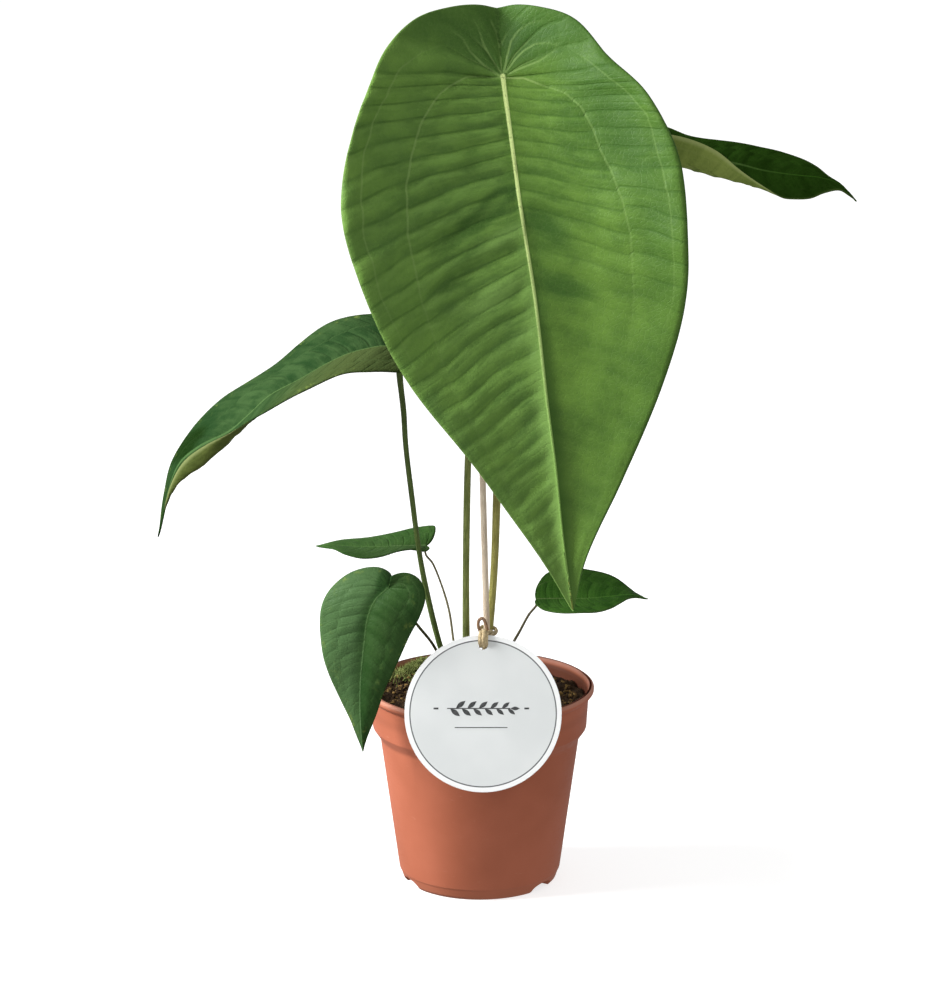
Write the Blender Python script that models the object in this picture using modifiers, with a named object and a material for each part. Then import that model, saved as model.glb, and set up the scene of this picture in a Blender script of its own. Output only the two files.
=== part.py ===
"""Young anthurium with hanging leaves in a plastic nursery pot, tied to a cane, with a card."""

import bmesh
import bpy
import math
import numpy as np
from mathutils import Matrix, Vector

MM = 0.001

# Pot, in millimetres
POT_HEIGHT = 106.0
LIP_RADIUS = 60.0
COLLAR_TOP_RADIUS = 57.2
COLLAR_FOOT_RADIUS = 56.1
COLLAR_DEPTH = 22.0
STEP_DEPTH = 6.0
BODY_TOP_RADIUS = 52.1
BODY_FOOT_RADIUS = 41.8
FOOT_RADIUS = 40.4
POT_WALL = 1.3
FLOOR_THICKNESS = 1.6
POT_SIDES = 60
NOTCH_ANGLES = (-65.0, 55.0, 175.0)
NOTCH_WIDTH = 17.0
NOTCH_HEIGHT = 4.6
NOTCH_SPRING = 1.2
MERGE_DISTANCE = 0.005

# Soil, in millimetres
SOIL_TOP = 101.0
SOIL_LUMP = 1.5
SOIL_MOUND = 1.8
SOIL_BANK = 5.4
SOIL_BANK_AT = (-36.0, 40.0)
SOIL_BANK_REACH = 20.0
SOIL_RINGS = 7
SOIL_SIDES = 40
HOLE_SIDES = 10
HOLE_OVERRUN = 20.0
CLEARANCE = 0.3

# Blades and stalks, in millimetres
BOARD_LEAN = math.radians(15.5)
BLADE_THICKNESS = 0.7
RIB_REACH = 1.2
SHORTEST_EDGE = 0.7
QUILT_REACH = 0.86
SINUS_REACH = 7.0
STALK_SIDES_RESOLUTION = 2
ROOTED_DEPTH = 13.0

# Card and tie, in millimetres
CARD_RADIUS = 40.4
CARD_THICKNESS = 0.8
CARD_SIDES = 56
CARD_CENTRE = (1.7, 89.0, 87.1)
CARD_HOLE_RADIUS = 2.5
CARD_HOLE_RISE = 35.4
CARD_HOLE_SIDES = 20
TIE_RADIUS = 0.95
TIE_LOOP_CENTRE = (4.4, -2.2)
TIE_LOOP_REACH = (3.35 + TIE_RADIUS, 5.6 + TIE_RADIUS)
TIE_LOOP_START = -70
TIE_LOOP_STEP = 36
TIE_LOOP_POINTS = 11
TIE_LOOP_HEIGHT = 137.5
TIE_LOOP_DROP = 0.22

COLOURS = {
    "terracotta_plastic": (0.47, 0.16, 0.09, 1.0),
    "potting_soil": (0.035, 0.02, 0.012, 1.0),
    "mature_leaf": (0.09, 0.19, 0.04, 1.0),
    "arched_leaf": (0.08, 0.17, 0.06, 1.0),
    "shaded_leaf": (0.03, 0.08, 0.02, 1.0),
    "young_leaf": (0.07, 0.17, 0.05, 1.0),
    "olive_stalk": (0.2, 0.21, 0.06, 1.0),
    "green_stalk": (0.09, 0.15, 0.04, 1.0),
    "cane_wood": (0.5, 0.36, 0.22, 1.0),
    "white_card": (0.75, 0.77, 0.76, 1.0),
    "raffia": (0.4, 0.27, 0.14, 1.0),
}


def clear_scene():
    for old in list(bpy.data.objects):
        bpy.data.objects.remove(old, do_unlink=True)


def new_collection(name, hidden=False):
    collection = bpy.data.collections.new(name)
    bpy.context.scene.collection.children.link(collection)
    collection.hide_render = hidden
    return collection


clear_scene()
plant = new_collection("potted_anthurium")
cutters = new_collection("cutters", hidden=True)


def material(slot, roughness=0.5):
    found = bpy.data.materials.get(slot)
    if found:
        return found
    made = bpy.data.materials.new(slot)
    made.use_nodes = True
    shader = made.node_tree.nodes["Principled BSDF"]
    shader.inputs["Base Color"].default_value = COLOURS[slot]
    shader.inputs["Roughness"].default_value = roughness
    made.diffuse_color = COLOURS[slot]
    return made


def add_object(name, mesh, slot, collection=None):
    obj = bpy.data.objects.new(name, mesh)
    (collection or plant).objects.link(obj)
    if slot:
        mesh.materials.append(material(slot))
    return obj


def mesh_of(bm, name):
    mesh = bpy.data.meshes.new(name)
    bm.to_mesh(mesh)
    bm.free()
    return mesh


def cut_with(obj, cutter_mesh, name):
    cutter = add_object(name, cutter_mesh, None, cutters)
    cutter.hide_render = True
    cutter.display_type = "WIRE"
    cut = obj.modifiers.new(name, "BOOLEAN")
    cut.operation = "DIFFERENCE"
    cut.solver = "EXACT"
    cut.object = cutter


def disc(radius, depth, sides):
    """A round plate about the Z axis, in millimetres, with the origin at its middle."""
    bm = bmesh.new()
    bmesh.ops.create_cone(
        bm,
        cap_ends=True,
        segments=sides,
        radius1=radius * MM,
        radius2=radius * MM,
        depth=depth * MM,
    )
    return bm


def board(x, height, toward):
    """A point in millimetres on a board leaning back behind the plant, moved off it forwards."""
    sin, cos = math.sin(BOARD_LEAN), math.cos(BOARD_LEAN)
    return np.array((x, height * sin - toward * cos, height * cos + toward * sin))


def smooth_curve(points, shares, per_span=14):
    """Points at the given shares of the length of a smooth curve through the control points."""
    held = np.array(points, float)
    held = np.vstack([2 * held[0] - held[1], held, 2 * held[-1] - held[-2]])
    steps = np.sqrt(np.linalg.norm(np.diff(held, axis=0), axis=1))
    share = (np.arange(per_span) / per_span)[:, None]
    fine = []
    for k in range(1, len(held) - 2):
        a, b, c, d = held[k - 1 : k + 3]
        before, here, after = steps[k - 1 : k + 2]
        leaving = c - b + here * ((b - a) / before - (c - a) / (before + here))
        arriving = c - b + here * ((d - c) / after - (d - b) / (here + after))
        fine.append(
            b * (1 + 2 * share) * (1 - share) ** 2
            + leaving * share * (1 - share) ** 2
            + c * share**2 * (3 - 2 * share)
            + arriving * share**2 * (share - 1)
        )
    fine = np.vstack([*fine, held[-2:-1]])
    lengths = np.r_[0, np.cumsum(np.linalg.norm(np.diff(fine, axis=0), axis=1))]
    wanted = np.asarray(shares, float) * lengths[-1]
    return np.column_stack([np.interp(wanted, lengths, fine[:, k]) for k in range(3)])


def unit(vectors):
    return vectors / np.maximum(np.linalg.norm(vectors, axis=-1, keepdims=True), 1e-9)


# Pot


def pot_profile():
    """Outer side from the lip down to the foot, then up the inside, ending where it began."""
    wall_top = POT_HEIGHT - COLLAR_DEPTH
    body_top = wall_top - STEP_DEPTH
    outer = [
        (LIP_RADIUS - 1.2, POT_HEIGHT),
        (LIP_RADIUS, POT_HEIGHT - 0.9),
        (LIP_RADIUS, POT_HEIGHT - 2.6),
        (LIP_RADIUS - 1.0, POT_HEIGHT - 3.8),
        (COLLAR_TOP_RADIUS, POT_HEIGHT - 5.0),
        (COLLAR_FOOT_RADIUS, wall_top),
        (COLLAR_FOOT_RADIUS - 0.8, wall_top - 1.2),
        (BODY_TOP_RADIUS + 0.5, body_top + 0.9),
        (BODY_TOP_RADIUS, body_top - 0.6),
        (BODY_FOOT_RADIUS + 0.5, 6.4),
        (BODY_FOOT_RADIUS - 0.1, 5.6),
        (FOOT_RADIUS, 1.6),
        (FOOT_RADIUS - 1.6, 0.0),
        (0.0, 0.0),
    ]
    inner = [
        (0.0, FLOOR_THICKNESS),
        (FOOT_RADIUS - 3.4, FLOOR_THICKNESS),
        (BODY_FOOT_RADIUS - POT_WALL - 0.6, 6.2),
        (BODY_TOP_RADIUS - POT_WALL, body_top),
        (COLLAR_FOOT_RADIUS - POT_WALL - 0.3, wall_top + 1.4),
        (COLLAR_TOP_RADIUS - POT_WALL, POT_HEIGHT - 4.0),
        (LIP_RADIUS - 2.4, POT_HEIGHT),
    ]
    return [*outer, *inner, outer[0]]


def profile_mesh(name, profile):
    """The outline (radius, height) in millimetres, as joined edges in the XZ plane."""
    bm = bmesh.new()
    points = [bm.verts.new((r * MM, 0.0, z * MM)) for r, z in profile]
    for pair in zip(points, points[1:]):
        bm.edges.new(pair)
    bmesh.ops.remove_doubles(bm, verts=bm.verts, dist=MERGE_DISTANCE * MM)
    return mesh_of(bm, name)


def turn_profile(obj, sides):
    turned = obj.modifiers.new("turned", "SCREW")
    turned.axis = "Z"
    turned.angle = math.tau
    turned.steps = sides
    turned.render_steps = sides
    turned.use_merge_vertices = True
    turned.merge_threshold = MERGE_DISTANCE * MM
    turned.use_normal_calculate = True


def notch_cutter(angle):
    """An arched block that runs out through the foot of the wall."""
    bm = bmesh.new()
    half = NOTCH_WIDTH / 2
    arch = [(-half, -2.0), (half, -2.0)]
    for k in range(9):
        turn = math.pi * k / 8
        rise = NOTCH_SPRING + (NOTCH_HEIGHT - NOTCH_SPRING) * math.sin(turn)
        arch.append((half * math.cos(turn), rise))
    near = FOOT_RADIUS - 7.5
    verts = [bm.verts.new((near * MM, x * MM, z * MM)) for x, z in arch]
    face = bm.faces.new(verts)
    pushed = bmesh.ops.extrude_face_region(bm, geom=[face])
    moved = [v for v in pushed["geom"] if isinstance(v, bmesh.types.BMVert)]
    bmesh.ops.translate(bm, vec=(14 * MM, 0, 0), verts=moved)
    bmesh.ops.recalc_face_normals(bm, faces=bm.faces)
    turn = Matrix.Rotation(math.radians(angle - 90), 3, "Z")
    bmesh.ops.rotate(bm, cent=(0, 0, 0), matrix=turn, verts=bm.verts)
    return mesh_of(bm, "notch")


pot = add_object("pot", profile_mesh("pot", pot_profile()), "terracotta_plastic")
turn_profile(pot, POT_SIDES)
for index, angle in enumerate(NOTCH_ANGLES):
    cut_with(pot, notch_cutter(angle), f"notch_{index}")


# Soil with a hole for each stalk and for the cane

ROOTS = {
    "large_petiole": (1.2, 3.6, 2.4),
    "left_petiole": (-13.8, 3.2, 1.8),
    "right_petiole": (-6.8, 4.8, 2.2),
    "heart_petiole": (-13.0, -7.4, 0.95),
    "small_left_petiole": (-11.0, 10.5, 0.75),
    "small_right_petiole": (9.6, -1.6, 0.85),
    "cane": (4.7, -5.0, 1.65),
}
CANE_LEAN = -0.027
CANE_FOOT_HEIGHT = 58.0
CANE_TOP_HEIGHT = 300.0


def soil_height(x, y):
    lumps = math.sin(0.23 * x + 1.1) * math.cos(0.19 * y - 0.6)
    lumps += 0.6 * math.sin(0.41 * x - 0.35 * y + 2.0)
    mound = SOIL_MOUND * math.exp(-((x + 3) ** 2 + y**2) / 500)
    away = math.hypot(x - SOIL_BANK_AT[0], y - SOIL_BANK_AT[1]) / SOIL_BANK_REACH
    bank = SOIL_BANK * math.exp(-(away**2))
    return SOIL_TOP - 1.5 + SOIL_LUMP * 0.7 * lumps + mound + bank


def soil_mesh():
    """A turned plug that fits inside the pot, with its flat top then raised into low lumps."""
    foot = FLOOR_THICKNESS + CLEARANCE
    edge_radius = COLLAR_TOP_RADIUS - POT_WALL - 1.2
    profile = [
        (0.0, foot),
        (FOOT_RADIUS - 4.6, foot),
        (BODY_FOOT_RADIUS - POT_WALL - 1.5, 6.2),
        (BODY_TOP_RADIUS - POT_WALL - 0.7, POT_HEIGHT - COLLAR_DEPTH - STEP_DEPTH),
        (BODY_TOP_RADIUS + 1.2, POT_HEIGHT - COLLAR_DEPTH + 1.6),
        (edge_radius, SOIL_TOP),
    ]
    for k in range(1, SOIL_RINGS + 1):
        profile.append((edge_radius * (1 - k / SOIL_RINGS), SOIL_TOP))
    bm = bmesh.new()
    points = [bm.verts.new((r * MM, 0.0, z * MM)) for r, z in profile]
    edges = [bm.edges.new(pair) for pair in zip(points, points[1:])]
    bmesh.ops.spin(
        bm,
        geom=points + edges,
        axis=(0, 0, 1),
        angle=math.tau,
        steps=SOIL_SIDES,
        use_merge=True,
    )
    bmesh.ops.remove_doubles(bm, verts=bm.verts, dist=MERGE_DISTANCE * MM)
    for vert in bm.verts:
        if vert.co.z > (SOIL_TOP - 1.0) * MM:
            vert.co.z = soil_height(vert.co.x / MM, vert.co.y / MM) * MM
    bmesh.ops.triangulate(bm, faces=bm.faces)
    bmesh.ops.recalc_face_normals(bm, faces=bm.faces)
    return mesh_of(bm, "soil")


def hole_cutter(x, y, radius, depth, lean):
    """A round cutter from the given depth under the soil's top to above it, leaned by a slope."""
    height = depth + HOLE_OVERRUN
    bm = disc(radius + 2 * CLEARANCE, height, HOLE_SIDES)
    bmesh.ops.translate(bm, vec=(x * MM, y * MM, (SOIL_TOP - depth + height / 2) * MM), verts=bm.verts)
    for vert in bm.verts:
        vert.co.x += lean * (vert.co.z - SOIL_TOP * MM)
    return mesh_of(bm, "hole")


soil = add_object("soil", soil_mesh(), "potting_soil")
for stalk_name, (x, y, radius) in ROOTS.items():
    is_cane = stalk_name == "cane"
    depth = SOIL_TOP - CANE_FOOT_HEIGHT + 1 if is_cane else ROOTED_DEPTH + 1
    lean = CANE_LEAN if is_cane else 0.0
    cut_with(soil, hole_cutter(x, y, radius, depth, lean), f"hole_{stalk_name}")


# Leaf blades


def row_shares(start, end, columns):
    """Where each row's points stand between midrib and margin, never closer than the rib's reach.

    What doesn't fit in a short row ends on the margin, where it is merged.
    """
    reach = np.linalg.norm(end - start, axis=1)[:, None]
    order = np.arange(columns)[None]
    spaced = RIB_REACH + (reach - RIB_REACH) * (order / (columns - 1)) ** 1.1
    closest = RIB_REACH * (1 + order)
    shares = np.minimum(1, np.maximum(spaced, closest) / np.maximum(reach, MERGE_DISTANCE))
    return np.hstack([np.zeros_like(reach), shares])


def half_rows(start, end, toward_tip, side, shares):
    """Curved rows from the midrib to the margin, bowed off the blade and rolled where asked."""
    span = end - start
    reach = np.linalg.norm(span, axis=1, keepdims=True)
    roll_places, rolls = side.get("roll_at", ()), side.get("roll", ())
    roll = np.interp(side["at"], [0, *roll_places, 1], [0, *rolls, 0])[:, None]
    belly = (start + end) / 2
    belly += reach * side.get("lift", 0.08) * np.array(board(0, 0, 1))
    belly -= reach * side.get("sag", 0.08) * toward_tip
    belly += roll * np.array(board(*side.get("roll_by", (0, 0, 0))))
    share = shares[..., None]
    first, middle, last = start[:, None], belly[:, None], end[:, None]
    near = first * (1 - share) * (1 - 2 * share)
    return near + middle * 4 * share * (1 - share) + last * share * (2 * share - 1)


def blade(name, slot, midrib, first, second, fan, rows, columns, rib, relief, peltate=False):
    """A blade woven between its midrib and its two margins, with sunken side veins and a thick midrib.

    The first fan rows all start at the point where the stalk meets the blade.
    """
    places = np.arange(rows + 1)
    along = np.clip((places - fan) / (rows - fan), 0, 1)
    tip_pull = along**1.05
    led = tip_pull + relief.get("lead", 0.3) * tip_pull**2 * (1 - tip_pull)
    midrib_points = [board(*p) for p in midrib]
    spine = smooth_curve(midrib_points, tip_pull)
    ahead = unit(np.gradient(smooth_curve(midrib_points, np.linspace(0, 1, rows + 1)), axis=0))
    halves = []
    shares = []
    for side in (first, second):
        split = side["split"]
        margin_points = np.array([board(*p) for p in side["margin"]])
        length = np.linalg.norm(np.diff(margin_points, axis=0), axis=1).sum()
        begin = 0.0 if peltate else SINUS_REACH / length
        fanned = begin + (split - begin) * (places / fan) ** 0.9
        at = np.where(places < fan, fanned, split + (1 - split) * led)
        side["at"] = at
        margin = smooth_curve(margin_points, at)
        shares.append(row_shares(spine, margin, columns))
        halves.append(half_rows(spine, margin, ahead, side, shares[-1]))
    grid = np.concatenate([halves[0][:, :0:-1], halves[1]], axis=1)
    down = np.gradient(grid, axis=0)
    down[fan] = grid[fan + 1] - grid[fan]
    normals = unit(np.cross(down, np.gradient(grid, axis=1)))
    normals[:fan, columns] = normals[fan, columns]
    normals[-1] = normals[-2]
    across = np.concatenate([shares[0][:, :0:-1], shares[1]], axis=1)
    fan_vein = places / fan * relief["fan_veins"]
    vein = np.where(places < fan, fan_vein, relief["fan_veins"] + along * relief["veins"])
    quilt = -np.cos(math.tau * vein)[:, None] * np.sin(math.pi * np.clip(across / QUILT_REACH, 0, 1))
    phase = np.array([0.7] * columns + [0.0] + [2.1] * columns)
    wave = np.sin(math.tau * relief["waves"] * (places / rows)[:, None] + phase) * across**3
    fade = np.sin(math.pi * np.clip(places / rows, 0, 1))[:, None] ** 0.6
    offset = (relief["quilt"] * quilt + relief["wave"] * wave) * fade
    grid = grid + normals * offset[..., None]
    grid[:fan, columns] = grid[fan, columns]
    if peltate:
        joined = (grid[0] + grid[0, ::-1]) / 2
        grid[0] = joined

    bm = bmesh.new()
    bmesh.ops.create_grid(bm, x_segments=2 * columns, y_segments=rows, size=1.0)
    thickness = bm.verts.layers.deform.verify()
    for vert in bm.verts:
        j = round((vert.co.x + 1) * columns)
        i = round((1 - vert.co.y) * rows / 2)
        vert.co = Vector(grid[i, j]) * MM
        if j == columns and fan <= i:
            vert[thickness][0] = 1 - along[i]
    bmesh.ops.remove_doubles(bm, verts=bm.verts, dist=4 * MERGE_DISTANCE * MM)
    bmesh.ops.dissolve_degenerate(bm, dist=SHORTEST_EDGE * MM, edges=bm.edges)
    bmesh.ops.triangulate(bm, faces=bm.faces)
    bmesh.ops.recalc_face_normals(bm, faces=bm.faces)
    obj = add_object(name, mesh_of(bm, name), slot)
    obj.vertex_groups.new(name="midrib")
    shell = obj.modifiers.new("thickness", "SOLIDIFY")
    shell.thickness = rib * MM
    shell.offset = 0.0
    shell.vertex_group = "midrib"
    shell.thickness_vertex_group = BLADE_THICKNESS / rib
    return grid[fan, columns], normals[fan, columns]


def stalk(name, slot, path, radii, step=8.0):
    """A tapering round stalk along a smooth path in millimetres."""
    rough = np.array(path, float)
    length = np.linalg.norm(np.diff(rough, axis=0), axis=1).sum()
    count = max(6, int(length / step))
    shares = np.linspace(0, 1, count + 1)
    points = smooth_curve(rough, shares)
    curve = bpy.data.curves.new(name, "CURVE")
    curve.dimensions = "3D"
    curve.bevel_depth = 1.0 * MM
    curve.bevel_resolution = STALK_SIDES_RESOLUTION
    curve.use_fill_caps = True
    spline = curve.splines.new("POLY")
    spline.points.add(len(points) - 1)
    for place, share, point in zip(spline.points, shares, points):
        place.co = (*(point * MM), 1.0)
        place.radius = float(np.interp(share, *radii))
    obj = bpy.data.objects.new(name, curve)
    plant.objects.link(obj)
    curve.materials.append(material(slot))
    return obj


def petiole(name, slot, middle, radii, joint, bend, rib):
    """A stalk from its hole in the soil to the underside of its blade, which it meets square on."""
    x, y, _ = ROOTS[name]
    root = (x, y, SOIL_TOP - ROOTED_DEPTH)
    point, normal = joint
    normal = normal / np.linalg.norm(normal)
    end = point - normal * (rib / 2 + CLEARANCE)
    path = [root, (x, y, SOIL_TOP - 4), (x, y, SOIL_TOP + 4), *middle, end - normal * bend, end]
    stalk(name, slot, path, radii)


large = blade(
    "large_leaf",
    "mature_leaf",
    midrib=[
        (11.7, 412.5, 126),
        (15.2, 386, 133),
        (20.7, 345, 139),
        (27.8, 300, 141),
        (33.8, 249, 139),
        (38.4, 214, 135),
        (42.1, 179, 129),
        (47.3, 142, 119),
    ],
    first={
        "margin": [
            (8.7, 448.6, 119),
            (-1, 449.8, 125),
            (-15, 448, 131),
            (-31.6, 441.4, 140),
            (-46, 425.5, 150),
            (-55, 405, 159),
            (-62, 386.6, 164),
            (-66.8, 362, 168),
            (-67.2, 338, 170),
            (-58.3, 302.6, 164),
            (-33.4, 255, 151),
            (4.1, 207, 139.5),
            (34, 164.4, 126.5),
            (47.3, 142, 119),
        ],
        "split": 0.30,
        "lift": -0.05,
        "sag": 0.1,
    },
    second={
        "margin": [
            (8.7, 448.6, 119),
            (18, 450, 123),
            (30, 448.2, 130),
            (47, 441.4, 138),
            (63.8, 422, 148),
            (81.6, 405, 159),
            (92, 386.6, 164),
            (99.8, 362.4, 168),
            (103.5, 330, 170),
            (102.3, 302.6, 164),
            (91, 255, 151),
            (70.5, 207, 138.5),
            (52.7, 166, 126.5),
            (47.3, 142, 119),
        ],
        "split": 0.32,
        "lift": -0.05,
        "sag": 0.1,
    },
    fan=12,
    rows=46,
    columns=9,
    rib=2.2,
    relief={"fan_veins": 5, "veins": 11, "quilt": 0.6, "waves": 4.5, "wave": 1.4, "lead": 0.38},
    peltate=True,
)

left = blade(
    "left_leaf",
    "arched_leaf",
    midrib=[
        (-39.2, 274.8, 84),
        (-48.7, 277.4, 85.5),
        (-58.9, 275.8, 87),
        (-66.6, 273.7, 88),
        (-76.8, 269.1, 90),
        (-92.2, 260.3, 91),
        (-107.6, 252.1, 91),
        (-117.8, 242.9, 91),
        (-128.1, 234.2, 90),
        (-143.7, 226.5, 87),
        (-154.1, 217.8, 84),
        (-160.5, 201.9, 81),
        (-165.7, 179.7, 80),
    ],
    first={
        "margin": [
            (-39.2, 274.8, 84),
            (-33, 279.5, 78),
            (-35, 290, 68),
            (-46.5, 295.5, 60),
            (-60, 295, 56.5),
            (-77.8, 290.2, 54),
            (-93.4, 280.5, 54),
            (-107, 269.5, 54.5),
            (-121.9, 258.6, 57),
            (-134.8, 249.6, 59),
            (-150, 235, 63),
            (-159.4, 219.4, 68),
            (-162.6, 201.3, 73.5),
            (-165.7, 179.7, 80),
        ],
        "split": 0.24,
        "lift": 0.03,
        "sag": 0.08,
    },
    second={
        "margin": [
            (-39.2, 274.8, 84),
            (-33, 272.6, 92),
            (-30, 267.6, 102),
            (-36.6, 264.5, 110),
            (-53.3, 263.6, 115),
            (-71.1, 262.6, 117),
            (-91.5, 253.6, 117),
            (-109.4, 242.6, 114),
            (-125.5, 234.4, 108),
            (-140.5, 226.4, 101),
            (-151.5, 218.2, 97),
            (-158.2, 207.4, 92.5),
            (-161.8, 195, 87),
            (-165.7, 179.7, 80),
        ],
        "split": 0.24,
        "lift": 0.12,
        "sag": 0.06,
        "roll_at": (0.5, 0.66, 0.78, 0.86, 0.93),
        "roll": (0.0, 0.4, 0.85, 0.6, 0.1),
        "roll_by": (1, -11.5, 3),
    },
    fan=7,
    rows=28,
    columns=5,
    rib=1.6,
    relief={"fan_veins": 2, "veins": 7, "quilt": 0.5, "waves": 3.5, "wave": 0.8},
)

right = blade(
    "right_leaf",
    "shaded_leaf",
    midrib=[
        (75.9, 382, 96),
        (97.3, 377, 97),
        (117, 373.4, 97),
        (134.2, 370.3, 96),
        (143.5, 367.8, 95),
        (153.9, 366.1, 93),
        (164.2, 364.9, 92),
        (174.5, 364, 90),
        (182.9, 361.5, 88.5),
        (188.6, 357.5, 87),
        (193.6, 352.1, 86),
    ],
    first={
        "margin": [
            (75.9, 382, 96),
            (69.5, 378.4, 104),
            (69.7, 378.8, 115),
            (81.2, 384, 122),
            (93.8, 384.3, 124),
            (106.5, 381.7, 124),
            (119.3, 376.3, 122),
            (132.3, 366.5, 116),
            (143, 359.3, 112),
            (153.8, 353.6, 108),
            (159.4, 352.7, 104),
            (169.4, 353, 99),
            (176.3, 355.8, 95),
            (184.7, 357.5, 91),
            (189.6, 355.1, 88),
            (193.6, 352.1, 86),
        ],
        "split": 0.2,
        "lift": 0.12,
        "sag": 0.05,
        "roll_at": (0.12, 0.28, 0.47, 0.64, 0.78),
        "roll": (0.5, 1.0, 0.95, 0.45, 0.0),
        "roll_by": (0, -11.5, 2),
    },
    second={
        "margin": [
            (75.9, 382, 96),
            (68, 385.6, 89),
            (68.1, 392.3, 81),
            (95, 391.3, 76),
            (108.5, 387.2, 73),
            (124.1, 384.2, 71),
            (142.2, 381.4, 71),
            (155, 379.2, 72),
            (166.8, 374.7, 74),
            (173.8, 370.1, 77),
            (179.3, 365.3, 80),
            (185.8, 361.3, 83),
            (190.3, 356.8, 85),
            (193.6, 352.1, 86),
        ],
        "split": 0.22,
        "lift": 0.04,
        "sag": 0.08,
    },
    fan=6,
    rows=26,
    columns=5,
    rib=1.6,
    relief={"fan_veins": 2, "veins": 6, "quilt": 0.4, "waves": 3.5, "wave": 0.6},
)

heart = blade(
    "heart_leaf",
    "young_leaf",
    midrib=[
        (-47.1, 153.6, 92),
        (-53.4, 147.6, 92.5),
        (-57.4, 138.5, 91.5),
        (-59.4, 124.4, 88),
        (-61, 109, 83),
        (-61.6, 95, 79),
        (-61.3, 82, 74.8),
        (-60.4, 68.5, 69),
    ],
    first={
        "margin": [
            (-47.1, 153.6, 92),
            (-45.7, 160.3, 86.5),
            (-52.5, 164, 86.5),
            (-66, 162, 86),
            (-75.2, 154.8, 85.5),
            (-80.8, 145, 85),
            (-82.5, 134.5, 84),
            (-81, 120.5, 81.5),
            (-77.3, 108.5, 78.5),
            (-71.4, 94, 75),
            (-66, 83.5, 72),
            (-62.9, 75.5, 70),
            (-60.4, 68.5, 69),
        ],
        "split": 0.34,
        "lift": 0.05,
        "sag": 0.06,
    },
    second={
        "margin": [
            (-47.1, 153.6, 92),
            (-45.4, 159.6, 96),
            (-37.5, 161.6, 96),
            (-30.6, 157.9, 95),
            (-28, 149.2, 94),
            (-30.8, 139, 93),
            (-36.5, 127.5, 91),
            (-43, 114, 87.5),
            (-48.6, 101.3, 83),
            (-53.2, 88.5, 78),
            (-57.2, 78.5, 73),
            (-60.4, 68.5, 69),
        ],
        "split": 0.33,
        "lift": 0.1,
        "sag": 0.06,
    },
    fan=8,
    rows=28,
    columns=5,
    rib=1.3,
    relief={"fan_veins": 3, "veins": 6, "quilt": 0.45, "waves": 3.5, "wave": 0.7},
)

small_left = blade(
    "small_left_leaf",
    "young_leaf",
    midrib=[
        (-28.5, 174.4, 18),
        (-41.9, 174.2, 19),
        (-57.7, 173.7, 19),
        (-70.9, 174.2, 18.5),
        (-78.8, 175, 18),
        (-86.2, 174.4, 17),
    ],
    first={
        "margin": [
            (-28.5, 174.4, 18),
            (-26.5, 176.3, 12),
            (-24.4, 179.8, 6),
            (-23.7, 185, 0),
            (-32.7, 184, -3),
            (-43.8, 181.4, -4),
            (-57.1, 179.4, -4),
            (-70.2, 177.8, 3),
            (-79.5, 176, 13),
            (-86.2, 174.4, 17),
        ],
        "split": 0.28,
        "lift": 0.03,
        "sag": 0.06,
    },
    second={
        "margin": [
            (-28.5, 174.4, 18),
            (-26.4, 173.7, 24),
            (-28.1, 172.2, 31),
            (-35.4, 172.6, 37),
            (-43.2, 171.6, 41),
            (-52, 169.5, 43),
            (-61.4, 168.7, 42),
            (-70.5, 170.2, 36),
            (-77.6, 173.2, 25),
            (-86.2, 174.4, 17),
        ],
        "split": 0.28,
        "lift": 0.03,
        "sag": 0.06,
    },
    fan=6,
    rows=18,
    columns=4,
    rib=1.1,
    relief={"fan_veins": 2, "veins": 4, "quilt": 0.3, "waves": 2.5, "wave": 0.4},
)

small_right = blade(
    "small_right_leaf",
    "shaded_leaf",
    midrib=[
        (29.3, 147.3, 72),
        (41.4, 147.6, 73),
        (54.3, 147.6, 74),
        (67.2, 148.7, 74),
        (77.6, 149.7, 73),
        (86.9, 147.6, 71),
    ],
    first={
        "margin": [
            (29.3, 147.3, 72),
            (28.2, 146, 77),
            (30.8, 143.6, 84),
            (36, 141.8, 89),
            (43.7, 140.6, 92),
            (52.4, 140.9, 93),
            (60.1, 141.6, 91),
            (67.4, 143.6, 87),
            (72.7, 146, 82),
            (77.4, 148, 77),
            (82.2, 148.3, 73.5),
            (86.7, 147.4, 71),
        ],
        "split": 0.22,
        "lift": 0.04,
        "sag": 0.06,
    },
    second={
        "margin": [
            (29.3, 147.3, 72),
            (29.6, 149.4, 67),
            (29.9, 152.6, 62.5),
            (31.3, 156.7, 58),
            (36.5, 161, 53),
            (48.5, 163.4, 52),
            (57.3, 162.6, 52),
            (65.6, 160.5, 54),
            (71.2, 157.7, 58),
            (76.3, 153.9, 62),
            (80.3, 151.1, 66),
            (83.9, 149.2, 69),
            (86.7, 147.4, 71),
        ],
        "split": 0.22,
        "lift": 0.04,
        "sag": 0.06,
    },
    fan=5,
    rows=18,
    columns=4,
    rib=1.1,
    relief={"fan_veins": 2, "veins": 4, "quilt": 0.3, "waves": 2.5, "wave": 0.4},
)

# Stalks

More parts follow.
